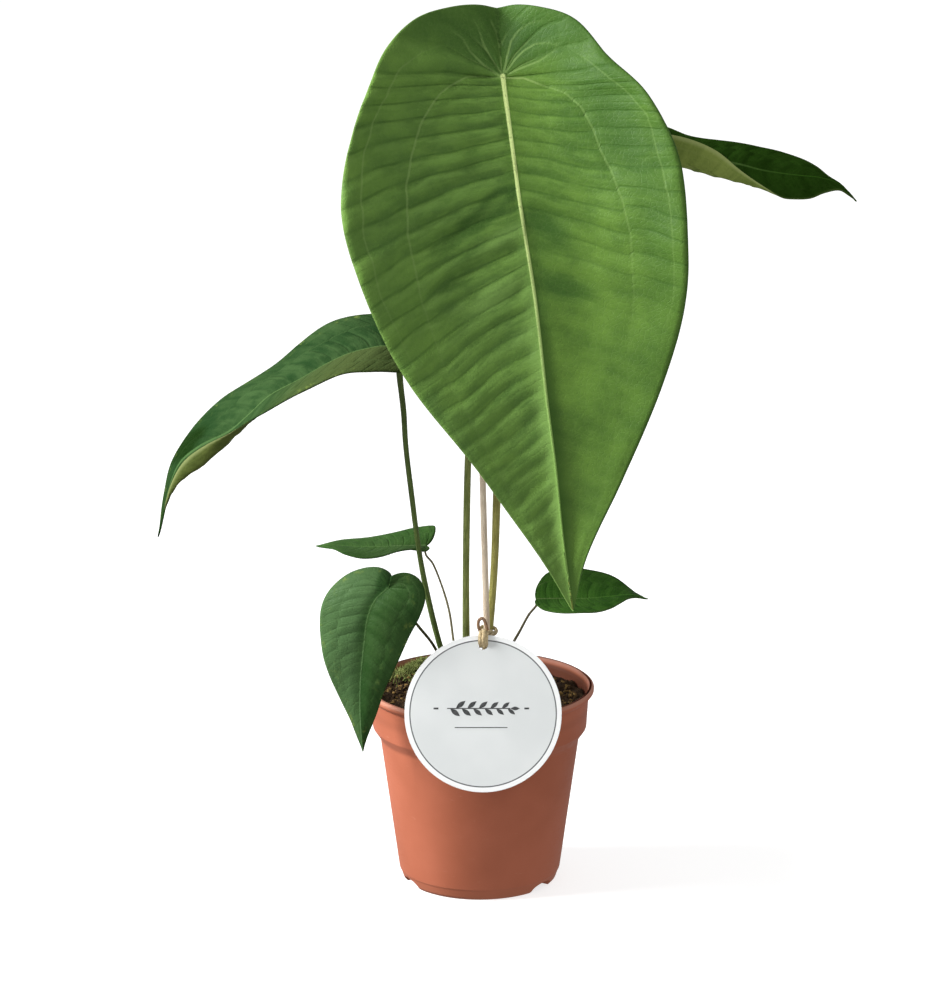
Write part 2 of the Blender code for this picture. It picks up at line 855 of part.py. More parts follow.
petiole(
    "large_petiole",
    "olive_stalk",
    middle=[
        (4.8, 0.4, 134),
        (7.5, 3, 167),
        (9, 6, 210),
        (10.5, 12, 257),
        (12, 18, 309),
        (13, 22, 361),
        (13.5, 21, 395),
    ],
    radii=((0, 0.1, 0.5, 0.94, 1), (2.3, 2.1, 2.05, 2.0, 2.6)),
    joint=large,
    bend=9,
    rib=2.2,
)
petiole(
    "left_petiole",
    "green_stalk",
    middle=[
        (-21.3, -1, 129.3),
        (-30.1, -4, 170.6),
        (-35.7, -6, 214),
        (-38.3, -6.4, 238),
        (-39.2, -6, 254),
    ],
    radii=((0, 0.12, 0.9, 1), (1.7, 1.5, 1.42, 1.9)),
    joint=left,
    bend=6,
    rib=1.6,
)
petiole(
    "right_petiole",
    "green_stalk",
    middle=[
        (-7.1, 4.6, 129.5),
        (-7.1, 5, 172.6),
        (-6.0, 6.4, 228.8),
        (-4.0, 9, 268.5),
        (0.1, 12, 310),
        (17, 16, 350),
        (42, 20, 377),
    ],
    radii=((0, 0.1, 0.5, 0.9, 1), (2.1, 1.9, 1.8, 1.7, 1.9)),
    joint=right,
    bend=8,
    rib=1.6,
)
petiole(
    "heart_petiole",
    "green_stalk",
    middle=[
        (-23.3, -14, 130.1),
        (-31.9, -30, 147),
    ],
    radii=((0, 1), (0.85, 0.75)),
    joint=heart,
    bend=6,
    rib=1.3,
)
petiole(
    "small_left_petiole",
    "green_stalk",
    middle=[
        (-13.8, 9.8, 127),
        (-16.6, 13.6, 144.5),
        (-24.2, 20.5, 165),
    ],
    radii=((0, 1), (0.65, 0.55)),
    joint=small_left,
    bend=4,
    rib=1.1,
)
petiole(
    "small_right_petiole",
    "green_stalk",
    middle=[
        (15.9, -9, 128),
        (20.8, -16.5, 140),
        (25.6, -24, 151.5),
    ],
    radii=((0, 1), (0.75, 0.65)),
    joint=small_right,
    bend=2.5,
    rib=1.1,
)

cane_x, cane_y, cane_radius = ROOTS["cane"]
cane_ends = [
    (cane_x + CANE_LEAN * (height - SOIL_TOP), cane_y, height)
    for height in (CANE_FOOT_HEIGHT, CANE_TOP_HEIGHT)
]
stalk("cane", "cane_wood", cane_ends, ((0, 1), (cane_radius, cane_radius - 0.05)), step=24.0)

# Card


def stand_on_board(bm, centre):
    """Turns a flat piece made about the Z axis to face forward, at its place on the board."""
    for vert in bm.verts:
        x, rise, toward = vert.co / MM
        vert.co = Vector(board(centre[0] + x, centre[1] + rise, centre[2] + toward)) * MM


card_bm = disc(CARD_RADIUS, CARD_THICKNESS, CARD_SIDES)
stand_on_board(card_bm, CARD_CENTRE)
card = add_object("card", mesh_of(card_bm, "card"), "white_card")
card_x, card_rise, card_toward = CARD_CENTRE
hole_bm = disc(CARD_HOLE_RADIUS, 8 * CARD_THICKNESS, CARD_HOLE_SIDES)
stand_on_board(hole_bm, (card_x, card_rise + CARD_HOLE_RISE, card_toward))
cut_with(card, mesh_of(hole_bm, "card_hole"), "card_hole")

# Tie


def tie_path():
    """From behind the card through its hole, over its top edge, and once round the stalks."""
    hole = (CARD_CENTRE[0], CARD_CENTRE[1] + CARD_HOLE_RISE)
    top = CARD_CENTRE[1] + CARD_RADIUS
    off = CARD_THICKNESS / 2 + TIE_RADIUS + CLEARANCE
    level = CARD_CENTRE[2]
    lead = [
        board(hole[0] + 0.8, hole[1] - 7.0, level - off - 1.4),
        board(hole[0] + 0.4, hole[1] - 1.6, level - off - 0.2),
        board(hole[0], hole[1] + 0.2, level),
        board(hole[0], hole[1] + 1.9, level + off + 0.5),
        board(hole[0] + 0.2, top + 0.6, level + off - 0.2),
        board(hole[0] + 0.4, top + 2.2, level - 2.2),
    ]
    loop = []
    for k in range(TIE_LOOP_POINTS):
        turn = math.radians(TIE_LOOP_START - TIE_LOOP_STEP * k)
        across = TIE_LOOP_CENTRE[0] + TIE_LOOP_REACH[0] * math.cos(turn)
        back = TIE_LOOP_CENTRE[1] + TIE_LOOP_REACH[1] * math.sin(turn)
        loop.append((across, back, TIE_LOOP_HEIGHT - TIE_LOOP_DROP * k))
    approach = [(3.3, -34.0, 143.0), (4.4, -18.0, 139.0)]
    tail = [(6.4, -12.5, 133.6), (7.6, -16.5, 129.5)]
    return [*lead, *approach, *loop, *tail]


stalk("tie", "raffia", tie_path(), ((0, 1), (TIE_RADIUS, TIE_RADIUS)), step=2.6)
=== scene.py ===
# Potted anthurium: finer leaves, stalks, soil, pot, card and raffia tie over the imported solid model.

import math
import random

import bmesh
import bpy
import numpy as np
from mathutils import Matrix, Vector, noise


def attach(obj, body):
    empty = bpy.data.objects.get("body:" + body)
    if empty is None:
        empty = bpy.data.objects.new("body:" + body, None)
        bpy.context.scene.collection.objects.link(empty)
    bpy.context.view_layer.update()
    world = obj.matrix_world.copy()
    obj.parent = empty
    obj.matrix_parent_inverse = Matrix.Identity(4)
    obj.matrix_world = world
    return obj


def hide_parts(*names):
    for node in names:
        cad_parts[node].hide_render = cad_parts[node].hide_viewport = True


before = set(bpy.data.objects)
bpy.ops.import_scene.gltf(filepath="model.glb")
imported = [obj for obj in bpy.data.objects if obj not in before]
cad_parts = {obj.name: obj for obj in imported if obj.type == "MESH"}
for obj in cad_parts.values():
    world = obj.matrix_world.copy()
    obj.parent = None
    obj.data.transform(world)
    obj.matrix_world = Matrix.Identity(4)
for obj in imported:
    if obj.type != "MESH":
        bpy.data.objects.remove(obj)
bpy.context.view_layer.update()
mm = 0.001
boardLean = math.radians(15.5)  # the board that the leaves are laid out on leans back by this much
clearance = 0.3  # gap in millimetres between pieces that only touch

print("stage: frame loaded")


# Shared tools


def board(x, height, toward):
    # a point in millimetres on the leaning board, moved off it toward the front
    sin, cos = math.sin(boardLean), math.cos(boardLean)
    return np.array((x, height * sin - toward * cos, height * cos + toward * sin))


def spans(points):
    # the lengths of the straight lines from each point to the next
    return np.linalg.norm(np.diff(np.array(points, float), axis=0), axis=1)


def smoothCurve(points, shares, perSpan=14):
    # points at the given shares of the length of a smooth curve through the control points
    held = np.array(points, float)
    held = np.vstack([2 * held[0] - held[1], held, 2 * held[-1] - held[-2]])
    steps = np.sqrt(spans(held))
    share = (np.arange(perSpan) / perSpan)[:, None]
    fine = []
    for k in range(1, len(held) - 2):
        a, b, c, d = held[k - 1 : k + 3]
        before, here, after = steps[k - 1 : k + 2]
        leaving = c - b + here * ((b - a) / before - (c - a) / (before + here))
        arriving = c - b + here * ((d - c) / after - (d - b) / (here + after))
        fine.append(
            b * (1 + 2 * share) * (1 - share) ** 2
            + leaving * share * (1 - share) ** 2
            + c * share**2 * (3 - 2 * share)
            + arriving * share**2 * (share - 1)
        )
    fine = np.vstack([*fine, held[-2:-1]])
    lengths = np.r_[0, np.cumsum(spans(fine))]
    wanted = np.asarray(shares, float) * lengths[-1]
    return np.column_stack([np.interp(wanted, lengths, fine[:, k]) for k in range(3)])


def unit(vectors):
    return vectors / np.maximum(np.linalg.norm(vectors, axis=-1, keepdims=True), 1e-9)


def newObject(name, data):
    made = bpy.data.objects.new(name, data)
    bpy.context.scene.collection.objects.link(made)
    return made


def finishPiece(name, data, materials, nodes=()):
    piece = newObject(name, data)
    for skin in materials:
        data.materials.append(skin)
    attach(piece, "root")
    if nodes:
        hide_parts(*nodes)
    return piece


def meshOf(bm, name, smooth=True):
    for face in bm.faces:
        face.smooth = smooth
    mesh = bpy.data.meshes.new(name)
    bm.to_mesh(mesh)
    bm.free()
    return mesh


# Shader tools


class Value:
    # a socket that takes part in plain expressions, each of which adds its Math node
    def __init__(self, nodes, socket):
        self.nodes = nodes
        self.socket = socket

    def math(self, operation, *others):
        sockets = {k: other for k, other in enumerate((self, *others))}
        return self.nodes.make("ShaderNodeMath", {"operation": operation}, sockets)

    def __add__(self, other):
        return self.math("ADD", other)

    __radd__ = __add__

    def __mul__(self, other):
        return self.math("MULTIPLY", other)

    __rmul__ = __mul__

    def __sub__(self, other):
        return self.math("SUBTRACT", other)

    def __rsub__(self, other):
        return self.nodes.make("ShaderNodeMath", {"operation": "SUBTRACT"}, {0: other, 1: self})

    def __pow__(self, other):
        return self.math("POWER", other)

    def __abs__(self):
        return self.math("ABSOLUTE")

    def ramp(self, low, high, start=0.0, end=1.0):
        # a soft step from start to end while this value goes from low to high
        sockets = {0: self, 1: low, 2: high, 3: start, 4: end}
        return self.nodes.make("ShaderNodeMapRange", {"interpolation_type": "SMOOTHSTEP"}, sockets)


class Nodes:
    def __init__(self, name):
        self.material = bpy.data.materials.new(name)
        self.material.use_nodes = True
        self.tree = self.material.node_tree
        self.shader = self.tree.nodes["Principled BSDF"]

    def make(self, kind, settings=None, sockets=None, out=0):
        node = self.tree.nodes.new(kind)
        for key, setting in (settings or {}).items():
            setattr(node, key, setting)
        for key, fed in (sockets or {}).items():
            self.feed(node.inputs[key], fed)
        return Value(self, node.outputs[out])

    def feed(self, socket, fed):
        if isinstance(fed, Value):
            self.tree.links.new(fed.socket, socket)
        elif socket.type == "RGBA":
            socket.default_value = (*fed, 1.0)
        else:
            socket.default_value = fed

    def surface(self, **sockets):
        for key, fed in sockets.items():
            self.feed(self.shader.inputs[key.replace("_", " ")], fed)
        return self.material

    def objectPoint(self, scale=(1, 1, 1), turn=(0, 0, 0)):
        # coordinates in millimetres
        point = self.make("ShaderNodeTexCoord", out=3)
        sockets = {"Vector": point, "Scale": [1000 * s for s in scale], "Rotation": turn}
        return self.make("ShaderNodeMapping", None, sockets)

    def attribute(self, name):
        return self.make("ShaderNodeAttribute", {"attribute_name": name}, out=2)

    def noise(self, point, size, detail=3.0, roughness=0.5, distortion=0.0):
        # size is the width of its blotches in millimetres
        sockets = {"Vector": point, "Scale": 1 / size, "Detail": detail, "Roughness": roughness}
        sockets["Distortion"] = distortion
        return self.make("ShaderNodeTexNoise", None, sockets)

    def combine(self, x, y, z):
        return self.make("ShaderNodeCombineXYZ", None, {0: x, 1: y, 2: z})

    def cells(self, point, size, feature="DISTANCE_TO_EDGE"):
        return self.make("ShaderNodeTexVoronoi", {"feature": feature}, {"Vector": point, "Scale": 1 / size})

    def mix(self, mask, first, second):
        settings = {"data_type": "RGBA"}
        return self.make("ShaderNodeMix", settings, {0: mask, 6: first, 7: second}, out=2)

    def bump(self, height, distance, strength=1.0):
        # distance in millimetres
        sockets = {"Height": height, "Distance": distance * mm, "Strength": strength}
        return self.make("ShaderNodeBump", None, sockets)


def shaded(colour, share):
    return tuple(part * share for part in colour)


# Camera, floor and lights

view = {
    "distance": 2.8,
    "pitch": boardLean,  # the camera looks square at the board
    "target": (-0.00194, 0.0, 0.21104),
    "lens": 203.9,
    "sensor": 36,
    "reach": 30,
}


def addCamera():
    camera = newObject("camera", bpy.data.cameras.new("camera"))
    camera.data.lens = view["lens"]
    camera.data.sensor_width = view["sensor"]
    camera.data.sensor_fit = "HORIZONTAL"
    camera.data.clip_end = view["reach"]
    back = Vector((0, -math.cos(view["pitch"]), math.sin(view["pitch"])))
    camera.location = Vector(view["target"]) + back * view["distance"]
    camera.rotation_euler = (math.pi / 2 - view["pitch"], 0, 0)
    bpy.context.scene.camera = camera


studio = {
    "world": 0.52,
    "key": {"at": (-1.3, -0.2, 0.95), "size": 0.7, "watts": 56.0},
    "fill": {"at": (0.6, -2.2, 0.9), "size": 1.6, "watts": 8.0},
    "aim": (0, 0, 0.2),
    "floorRadius": 6.0,
    "floorTone": 0.5,
    "floorGlow": 0.72,
    "hoodRadius": 5.8,
    "hoodGlow": 1.0,
}


def addLight(name, plan):
    lamp = bpy.data.lights.new(name, "AREA")
    lamp.size = plan["size"]
    lamp.energy = plan["watts"]
    light = newObject(name, lamp)
    light.location = plan["at"]
    ahead = Vector(studio["aim"]) - Vector(plan["at"])
    light.rotation_euler = ahead.to_track_quat("-Z", "Y").to_euler()


def addScreen(name, mesh, **looks):
    # a glowing sheet under or round the plant, which neither lights it nor shows in its shine
    screen = newObject(name, mesh)
    screen.data.materials.append(Nodes(name + "_white").surface(Emission_Color=(1, 1, 1), **looks))
    screen.visible_diffuse = False
    screen.visible_glossy = False
    return screen


def addStudio():
    world = bpy.data.worlds.new("studio")
    bpy.context.scene.world = world
    world.use_nodes = True
    background = world.node_tree.nodes["Background"]
    background.inputs["Color"].default_value = (1, 1, 1, 1)
    background.inputs["Strength"].default_value = studio["world"]
    for name in ("key", "fill"):
        addLight(name, studio[name])
    bm = bmesh.new()
    bmesh.ops.create_circle(bm, cap_ends=True, segments=96, radius=studio["floorRadius"])
    floor = addScreen(
        "floor",
        meshOf(bm, "floor", smooth=False),
        Base_Color=shaded((1, 1, 1), studio["floorTone"]),
        Roughness=0.9,
        Emission_Strength=studio["floorGlow"],
    )
    # the hood's white shows past the floor's end in low views
    bm = bmesh.new()
    bmesh.ops.create_uvsphere(bm, u_segments=48, v_segments=24, radius=studio["hoodRadius"])
    hood = addScreen(
        "hood",
        meshOf(bm, "hood"),
        Base_Color=(0, 0, 0),
        Specular_IOR_Level=0.0,
        Emission_Strength=studio["hoodGlow"],
    )
    hood.visible_shadow = False
    bpy.context.scene.view_settings.view_transform = "Standard"


addCamera()
addStudio()
print("stage: camera and studio")


# Raffia tie, with a small bow, through the card's hole and round the cane and the olive stalk

card = {
    "radius": 40.4,
    "thickness": 0.8,
    "centre": (1.7, 89.0, 87.1),
    "sides": 160,
    "soften": 0.12,
    "sharpOver": 35,
    "holeRadius": 2.5,
    "holeRise": 35.4,
    "holeSides": 48,
    "ringRadius": 37.6,
    "ringWidth": 0.55,
    "face": ((0.640, 0.665, 0.662), (0.690, 0.712, 0.708)),
    "border": (0.860, 0.870, 0.865),
    "ring": (0.090, 0.095, 0.100),
    "fibres": (0.550, 0.560, 0.560),
}

tie = {
    "radius": 0.95,
    "step": 1.3,
    "roundness": 6,
    "samples": 400,
    "approach": [(3.3, -34.0, 143.0), (4.4, -18.0, 139.0)],
    "loopCentre": (4.4, -2.2),
    "loopReach": (3.35, 5.6),
    "loopStart": -70,
    "loopStep": 36,
    "loopPoints": 11,
    "loopHeight": 137.5,
    "loopDrop": 0.22,
    "tail": [(6.4, -12.5, 133.6), (7.6, -16.5, 129.5)],
    "bow": [
        (3.0, -10.4, 134.6), (0.6, -11.0, 137.6), (-0.8, -10.8, 141.4), (-0.2, -10.6, 144.4),
        (1.5, -10.6, 145.2), (3.0, -10.8, 142.6), (3.9, -11.2, 139.0), (5.2, -11.4, 136.0),
    ],
    "bowRadius": 0.85,
    "bowSamples": 40,
    # how far each flat strand lies off the string, and its width
    "strands": {
        "left": ((-1.4, -0.4, 0.2), 2.4),
        "right": ((1.5, -0.4, 0.0), 2.3),
        "top": ((0.2, -0.8, 1.0), 1.8),
    },
    "strandSamples": 60,
    "strandColumns": 6,
    "strandThickness": 0.3,
    "strandFold": 0.22,
    "straw": ((0.76, 0.62, 0.36), (0.42, 0.31, 0.165)),
    "russet": ((0.42, 0.26, 0.15), (0.24, 0.13, 0.07)),
}


def tieRoute():
    # from behind the card through its hole, over its top edge, and once round the stalks
    hole = (card["centre"][0], card["centre"][1] + card["holeRise"])
    top = card["centre"][1] + card["radius"]
    off = card["thickness"] / 2 + tie["radius"] + clearance
    level = card["centre"][2]
    lead = [
        board(hole[0] + 0.8, hole[1] - 7.0, level - off - 1.4),
        board(hole[0] + 0.4, hole[1] - 1.6, level - off - 0.2),
        board(hole[0], hole[1] + 0.2, level),
        board(hole[0], hole[1] + 1.9, level + off + 0.5),
        board(hole[0] + 0.2, top + 0.6, level + off - 0.2),
        board(hole[0] + 0.4, top + 2.2, level - 2.2),
    ]
    loop = []
    across, back = [reach + tie["radius"] for reach in tie["loopReach"]]
    for k in range(tie["loopPoints"]):
        turn = math.radians(tie["loopStart"] - tie["loopStep"] * k)
        x = tie["loopCentre"][0] + across * math.cos(turn)
        y = tie["loopCentre"][1] + back * math.sin(turn)
        loop.append((x, y, tie["loopHeight"] - tie["loopDrop"] * k))
    return [*lead, *tie["approach"], *loop, *tie["tail"]]


def raffiaSkin(name, light, dark):
    nodes = Nodes(name)
    point = nodes.objectPoint()
    fibre = nodes.noise(nodes.objectPoint(scale=(5, 5, 0.8)), 1.2, detail=4)
    patch = nodes.noise(point, 5.0)
    colour = nodes.mix(fibre.ramp(0.35, 0.7), dark, light)
    colour = nodes.mix(patch.ramp(0.55, 0.75, 0, 0.5), colour, shaded(dark, 0.6))
    rough = fibre.ramp(0.2, 0.8, 0.55, 0.8)
    return nodes.surface(Base_Color=colour, Roughness=rough, Normal=nodes.bump(fibre, 0.35))


def wire(name, points, radius, widths=None):
    curve = bpy.data.curves.new(name, "CURVE")
    curve.dimensions = "3D"
    curve.bevel_depth = radius * mm
    curve.bevel_resolution = tie["roundness"]
    curve.use_fill_caps = True
    spline = curve.splines.new("POLY")
    spline.points.add(len(points) - 1)
    for k, (place, point) in enumerate(zip(spline.points, points)):
        place.co = (*(point * mm), 1.0)
        place.radius = 1.0 if widths is None else widths[k]
    return curve


def addStrand(name, route, shift, width, skin):
    # a flat crimped strip of raffia that runs beside the string, moved sideways by the shift
    points = smoothCurve(route, np.linspace(0, 1, tie["strandSamples"])) + np.array(shift)
    ahead = unit(np.gradient(points, axis=0))
    side = unit(np.array((1.0, 0, 0)) - ahead * ahead[:, :1])
    up = np.cross(side, ahead)
    bm = bmesh.new()
    across, along = tie["strandColumns"], len(points) - 1
    bmesh.ops.create_grid(bm, x_segments=across, y_segments=along, size=1.0)
    for vert in bm.verts:
        k = round((vert.co.y + 1) * along / 2)
        share = vert.co.x
        narrow = width / 2 * (0.9 + 0.1 * math.sin(0.4 * k + shift[0]))
        fold = tie["strandFold"] * math.cos(4.5 * share + 0.1 * k)
        vert.co = Vector(points[k] + side[k] * share * narrow + up[k] * fold) * mm
    piece = finishPiece(name, meshOf(bm, name), [skin])
    shell = piece.modifiers.new("thickness", "SOLIDIFY")
    shell.thickness = tie["strandThickness"] * mm
    shell.offset = 0.0
    return piece


def addTie():
    route = np.array(tieRoute())
    length = spans(smoothCurve(route, np.linspace(0, 1, tie["samples"]))).sum()
    points = smoothCurve(route, np.linspace(0, 1, int(length / tie["step"]) + 1))
    widths = [1.0 + 0.08 * math.sin(2.1 * k) + 0.05 * math.sin(0.9 * k + 1) for k in range(len(points))]
    string = wire("tie_string", points, tie["radius"], widths)
    straw = raffiaSkin("raffia_straw", *tie["straw"])
    piece = finishPiece("tie_string", string, [straw], ["tie"])
    curl = smoothCurve(tie["bow"], np.linspace(0, 1, tie["bowSamples"]))
    bend = wire("tie_bow", curl, tie["bowRadius"])
    bow = finishPiece("tie_bow", bend, [raffiaSkin("raffia_russet", *tie["russet"])])
    over = route[1:9]  # from the card's hole to the stalks
    strands = [
        addStrand(f"tie_strand_{side}", over, *plan, straw) for side, plan in tie["strands"].items()
    ]
    # the length is that of the route as built, as the photo hides the turn behind the stalks
    return length


tieLength = addTie()
print(f"stage: tie, {tieLength:.0f} mm of raffia")


# Leaf blades: each is woven between its midrib and its two margins, then quilted by its veins

bladeThickness = 0.7
sinusReach = 7.0  # how far along its margin from the stalk a leaf that isn't peltate begins

largeLeaf = {
    "name": "large_leaf", "slot": "mature_leaf",
    "midrib": [
        (11.7, 412.5, 126), (15.2, 386, 133), (20.7, 345, 139), (27.8, 300, 141), (33.8, 249, 139),
        (38.4, 214, 135), (42.1, 179, 129), (47.3, 142, 119),
    ],
    "first": {
        "margin": [
            (8.7, 448.6, 119), (-1, 449.8, 125), (-15, 448, 131), (-31.6, 441.4, 140), (-46, 425.5, 150),
            (-55, 405, 159), (-62, 386.6, 164), (-66.8, 362, 168), (-67.2, 338, 170), (-58.3, 302.6, 164),
            (-33.4, 255, 151), (4.1, 207, 139.5), (34, 164.4, 126.5), (47.3, 142, 119),
        ],
        "split": 0.30, "lift": -0.05, "sag": 0.1,
        # collective veins from the stalk round to the tip, in board millimetres
        "inner": [
            (11.7, 412.5), (1.3, 413.5), (-6.8, 412.4), (-13.7, 408.9), (-19.5, 404.3), (-24.1, 398.0),
            (-30.4, 386.5), (-33.9, 371.5), (-36.8, 354.2), (-36.5, 332), (-30, 302), (-13.5, 255),
            (13, 207), (36, 164), (47.3, 142),
        ],
        "outer": [
            (11.7, 412.5), (4, 420), (-5, 426.5), (-16.5, 429.3), (-29.1, 424.7), (-39.1, 416.2),
            (-46.6, 402.1), (-52.7, 389.7), (-57.6, 372), (-59.1, 352.0), (-57.5, 330), (-50.6, 302),
            (-27.4, 255), (6.8, 207), (34.7, 164), (47.3, 142),
        ],
        # how the side veins slope down from the midrib, from the joint to the tip, and how they bend
        "slope": (-0.06, 0.14, 0.34, 0.5, 0.62, 0.72, 0.85, 1.0),
        "bend": (0.2, 0.35, 0.5, 0.55, 0.5, 0.4, 0.3, 0.2), "offset": 0.12, "strength": 1.2,
        "settle": 0.4,
        # pale veins that rise from the joint and curl over in the upper lobe
        "loops": (
            ((10.7, 414.9), (5.6, 423), (1.6, 430.1), (-0.9, 437.7), (-4, 442.7)),
            ((11.2, 415.4), (10.2, 425.5), (8.7, 434.6), (5.1, 442.7)),
            ((9.7, 413.9), (2.1, 419), (-5, 425.5), (-9, 432.6), (-15.1, 436.7)),
        ),
        # hollows and swellings: place on the board, length, width, tilt, lift, and shade, which is painted
        # shade below 0 and painted light above it
        "patches": (
            (9, 350, 13, 5, 30, -0.8, -1.4), (-2, 338, 17, 5, 27, -0.8, -1.1),
            (-16, 326, 14, 5, 32, -0.6, -0.5), (15, 333, 16, 5, 24, 0.8, 0.9),
            (7, 301, 18, 7, 38, 0.9, 1.0), (-14, 308, 16, 6, 36, -0.6, -0.5),
            (22, 282, 12, 5, 38, 0.6, 0.6), (-45, 350, 14, 6, 20, -0.4, -0.4),
        ),
    },
    "second": {
        "margin": [
            (8.7, 448.6, 119), (18, 450, 123), (30, 448.2, 130), (47, 441.4, 138), (63.8, 422, 148),
            (81.6, 405, 159), (92, 386.6, 164), (99.8, 362.4, 168), (103.5, 330, 170), (102.3, 302.6, 164),
            (91, 255, 151), (70.5, 207, 138.5), (52.7, 166, 126.5), (47.3, 142, 119),
        ],
        "split": 0.32, "lift": -0.05, "sag": 0.1,
        "inner": [
            (11.7, 412.5), (22.0, 412.4), (28.9, 409.5), (42.7, 404.3), (50.8, 396.8), (56.6, 385.3),
            (60.0, 374.9), (66.5, 362), (71.6, 348.4), (75.5, 331.1), (76.9, 302), (73.6, 255), (62.3, 207),
            (51, 166), (47.3, 142),
        ],
        "outer": [
            (11.7, 412.5), (17.5, 424), (27, 431.5), (40, 430), (56, 419), (72, 405.5), (83.5, 392.2),
            (87.1, 376.1), (91.1, 362.2), (94.6, 348.4), (96.9, 327.7), (96.4, 302), (86.4, 255),
            (68.3, 207), (52, 166), (47.3, 142),
        ],
        "slope": (0.05, 0.18, 0.24, 0.28, 0.32, 0.4, 0.5, 0.6),
        "bend": (-0.1, -0.1, 0.1, 0.3, 0.3, 0.3, 0.3, 0.2), "offset": 0.3, "strength": 0.6,
        "settle": 0.85,
        "loops": (
            (
                (12.2, 414.9), (13.7, 424), (15.8, 431.6), (19.3, 436.7), (24.9, 440.2), (32, 441.7),
                (40.6, 440.2), (47.6, 436.7), (53.7, 430.6),
            ),
            (
                (13.2, 415.4), (17.8, 422), (22.3, 426.5), (27.9, 429.6), (35, 430.1), (41.6, 427),
                (46.6, 421.5),
            ),
            ((14.3, 414.4), (21.3, 417.4), (29.4, 420.5), (37, 425.5), (40.6, 432.6), (38.5, 438.7)),
        ),
        "patches": (
            (62, 388, 56, 26, 106, 0.0, -0.9), (19, 433, 10, 9, 70, 0.0, -1.0),
            (36, 437, 12, 5, 5, 0.0, -0.5), (30, 340, 12, 6, -22, -0.8, -1.1),
            (40, 327, 13, 5, -18, -0.5, -0.7), (42, 306, 16, 6, -14, -0.8, -1.2),
            (24, 366, 12, 4, -16, -0.4, -0.5), (55, 318, 14, 6, -18, 0.5, 0.5),
        ),
    },
    "fan": 12, "rows": 46, "columns": 44, "rib": 2.2, "ribWidth": (1.5, 0.3), "fanStep": 30,
    "veins": 28, "cushion": 1.3, "shoulder": -0.4, "dip": 2.0, "ripple": 0.35, "swell": 1.7,
    "roll": 1.2, "waves": 4.5, "wave": 1.4, "lead": 0.38, "peltate": True, "seed": 3.0,
}

leftLeaf = {
    "name": "left_leaf", "underShade": 0.55, "slot": "arched_leaf",
    "midrib": [
        (-39.2, 274.8, 84), (-48.7, 277.4, 85.5), (-58.9, 275.8, 87), (-66.6, 273.7, 88),
        (-76.8, 269.1, 90), (-92.2, 260.3, 91), (-107.6, 252.1, 91), (-117.8, 242.9, 91),
        (-128.1, 234.2, 90), (-143.7, 226.5, 87), (-154.1, 217.8, 84), (-160.5, 201.9, 81),
        (-165.7, 179.7, 80),
    ],
    "first": {
        "margin": [
            (-39.2, 274.8, 84), (-33, 279.5, 78), (-35, 290, 68), (-46.5, 295.5, 60), (-60, 295, 56.5),
            (-77.8, 290.2, 54), (-93.4, 280.5, 54), (-107, 269.5, 54.5), (-121.9, 258.6, 57),
            (-134.8, 249.6, 59), (-150, 235, 63), (-159.4, 219.4, 68), (-162.6, 201.3, 73.5),
            (-165.7, 179.7, 80),
        ],
        "split": 0.24, "lift": 0.03, "sag": 0.08,
        "patches": ((-153, 225, 17, 9, 50, 0.0, -2.0), (-141, 236, 12, 5, 42, 0.0, -0.7)),
    },
    "second": {
        "margin": [
            (-39.2, 274.8, 84), (-33, 272.6, 92), (-30, 267.6, 102), (-36.6, 264.5, 110),
            (-53.3, 263.6, 115), (-71.1, 262.6, 117), (-91.5, 253.6, 117), (-109.4, 242.6, 114),
            (-125.5, 234.4, 108), (-140.5, 226.4, 101), (-151.5, 218.2, 97), (-158.2, 207.4, 92.5),
            (-161.8, 195, 87), (-165.7, 179.7, 80),
        ],
        "split": 0.24, "lift": 0.12, "sag": 0.06, "rollAt": (0.5, 0.66, 0.78, 0.86, 0.93),
        "roll": (0.0, 0.4, 0.85, 0.6, 0.1), "rollBy": (1, -11.5, 3),
    },
    "fan": 7, "rows": 28, "columns": 24, "rib": 1.6, "ribWidth": (0.7, 0.35), "fanVeins": 3,
    "veins": 15, "cushion": 0.5, "ripple": 0.12, "roll": 0.4, "waves": 3.5, "wave": 0.8,
    "seed": 11.0,
}

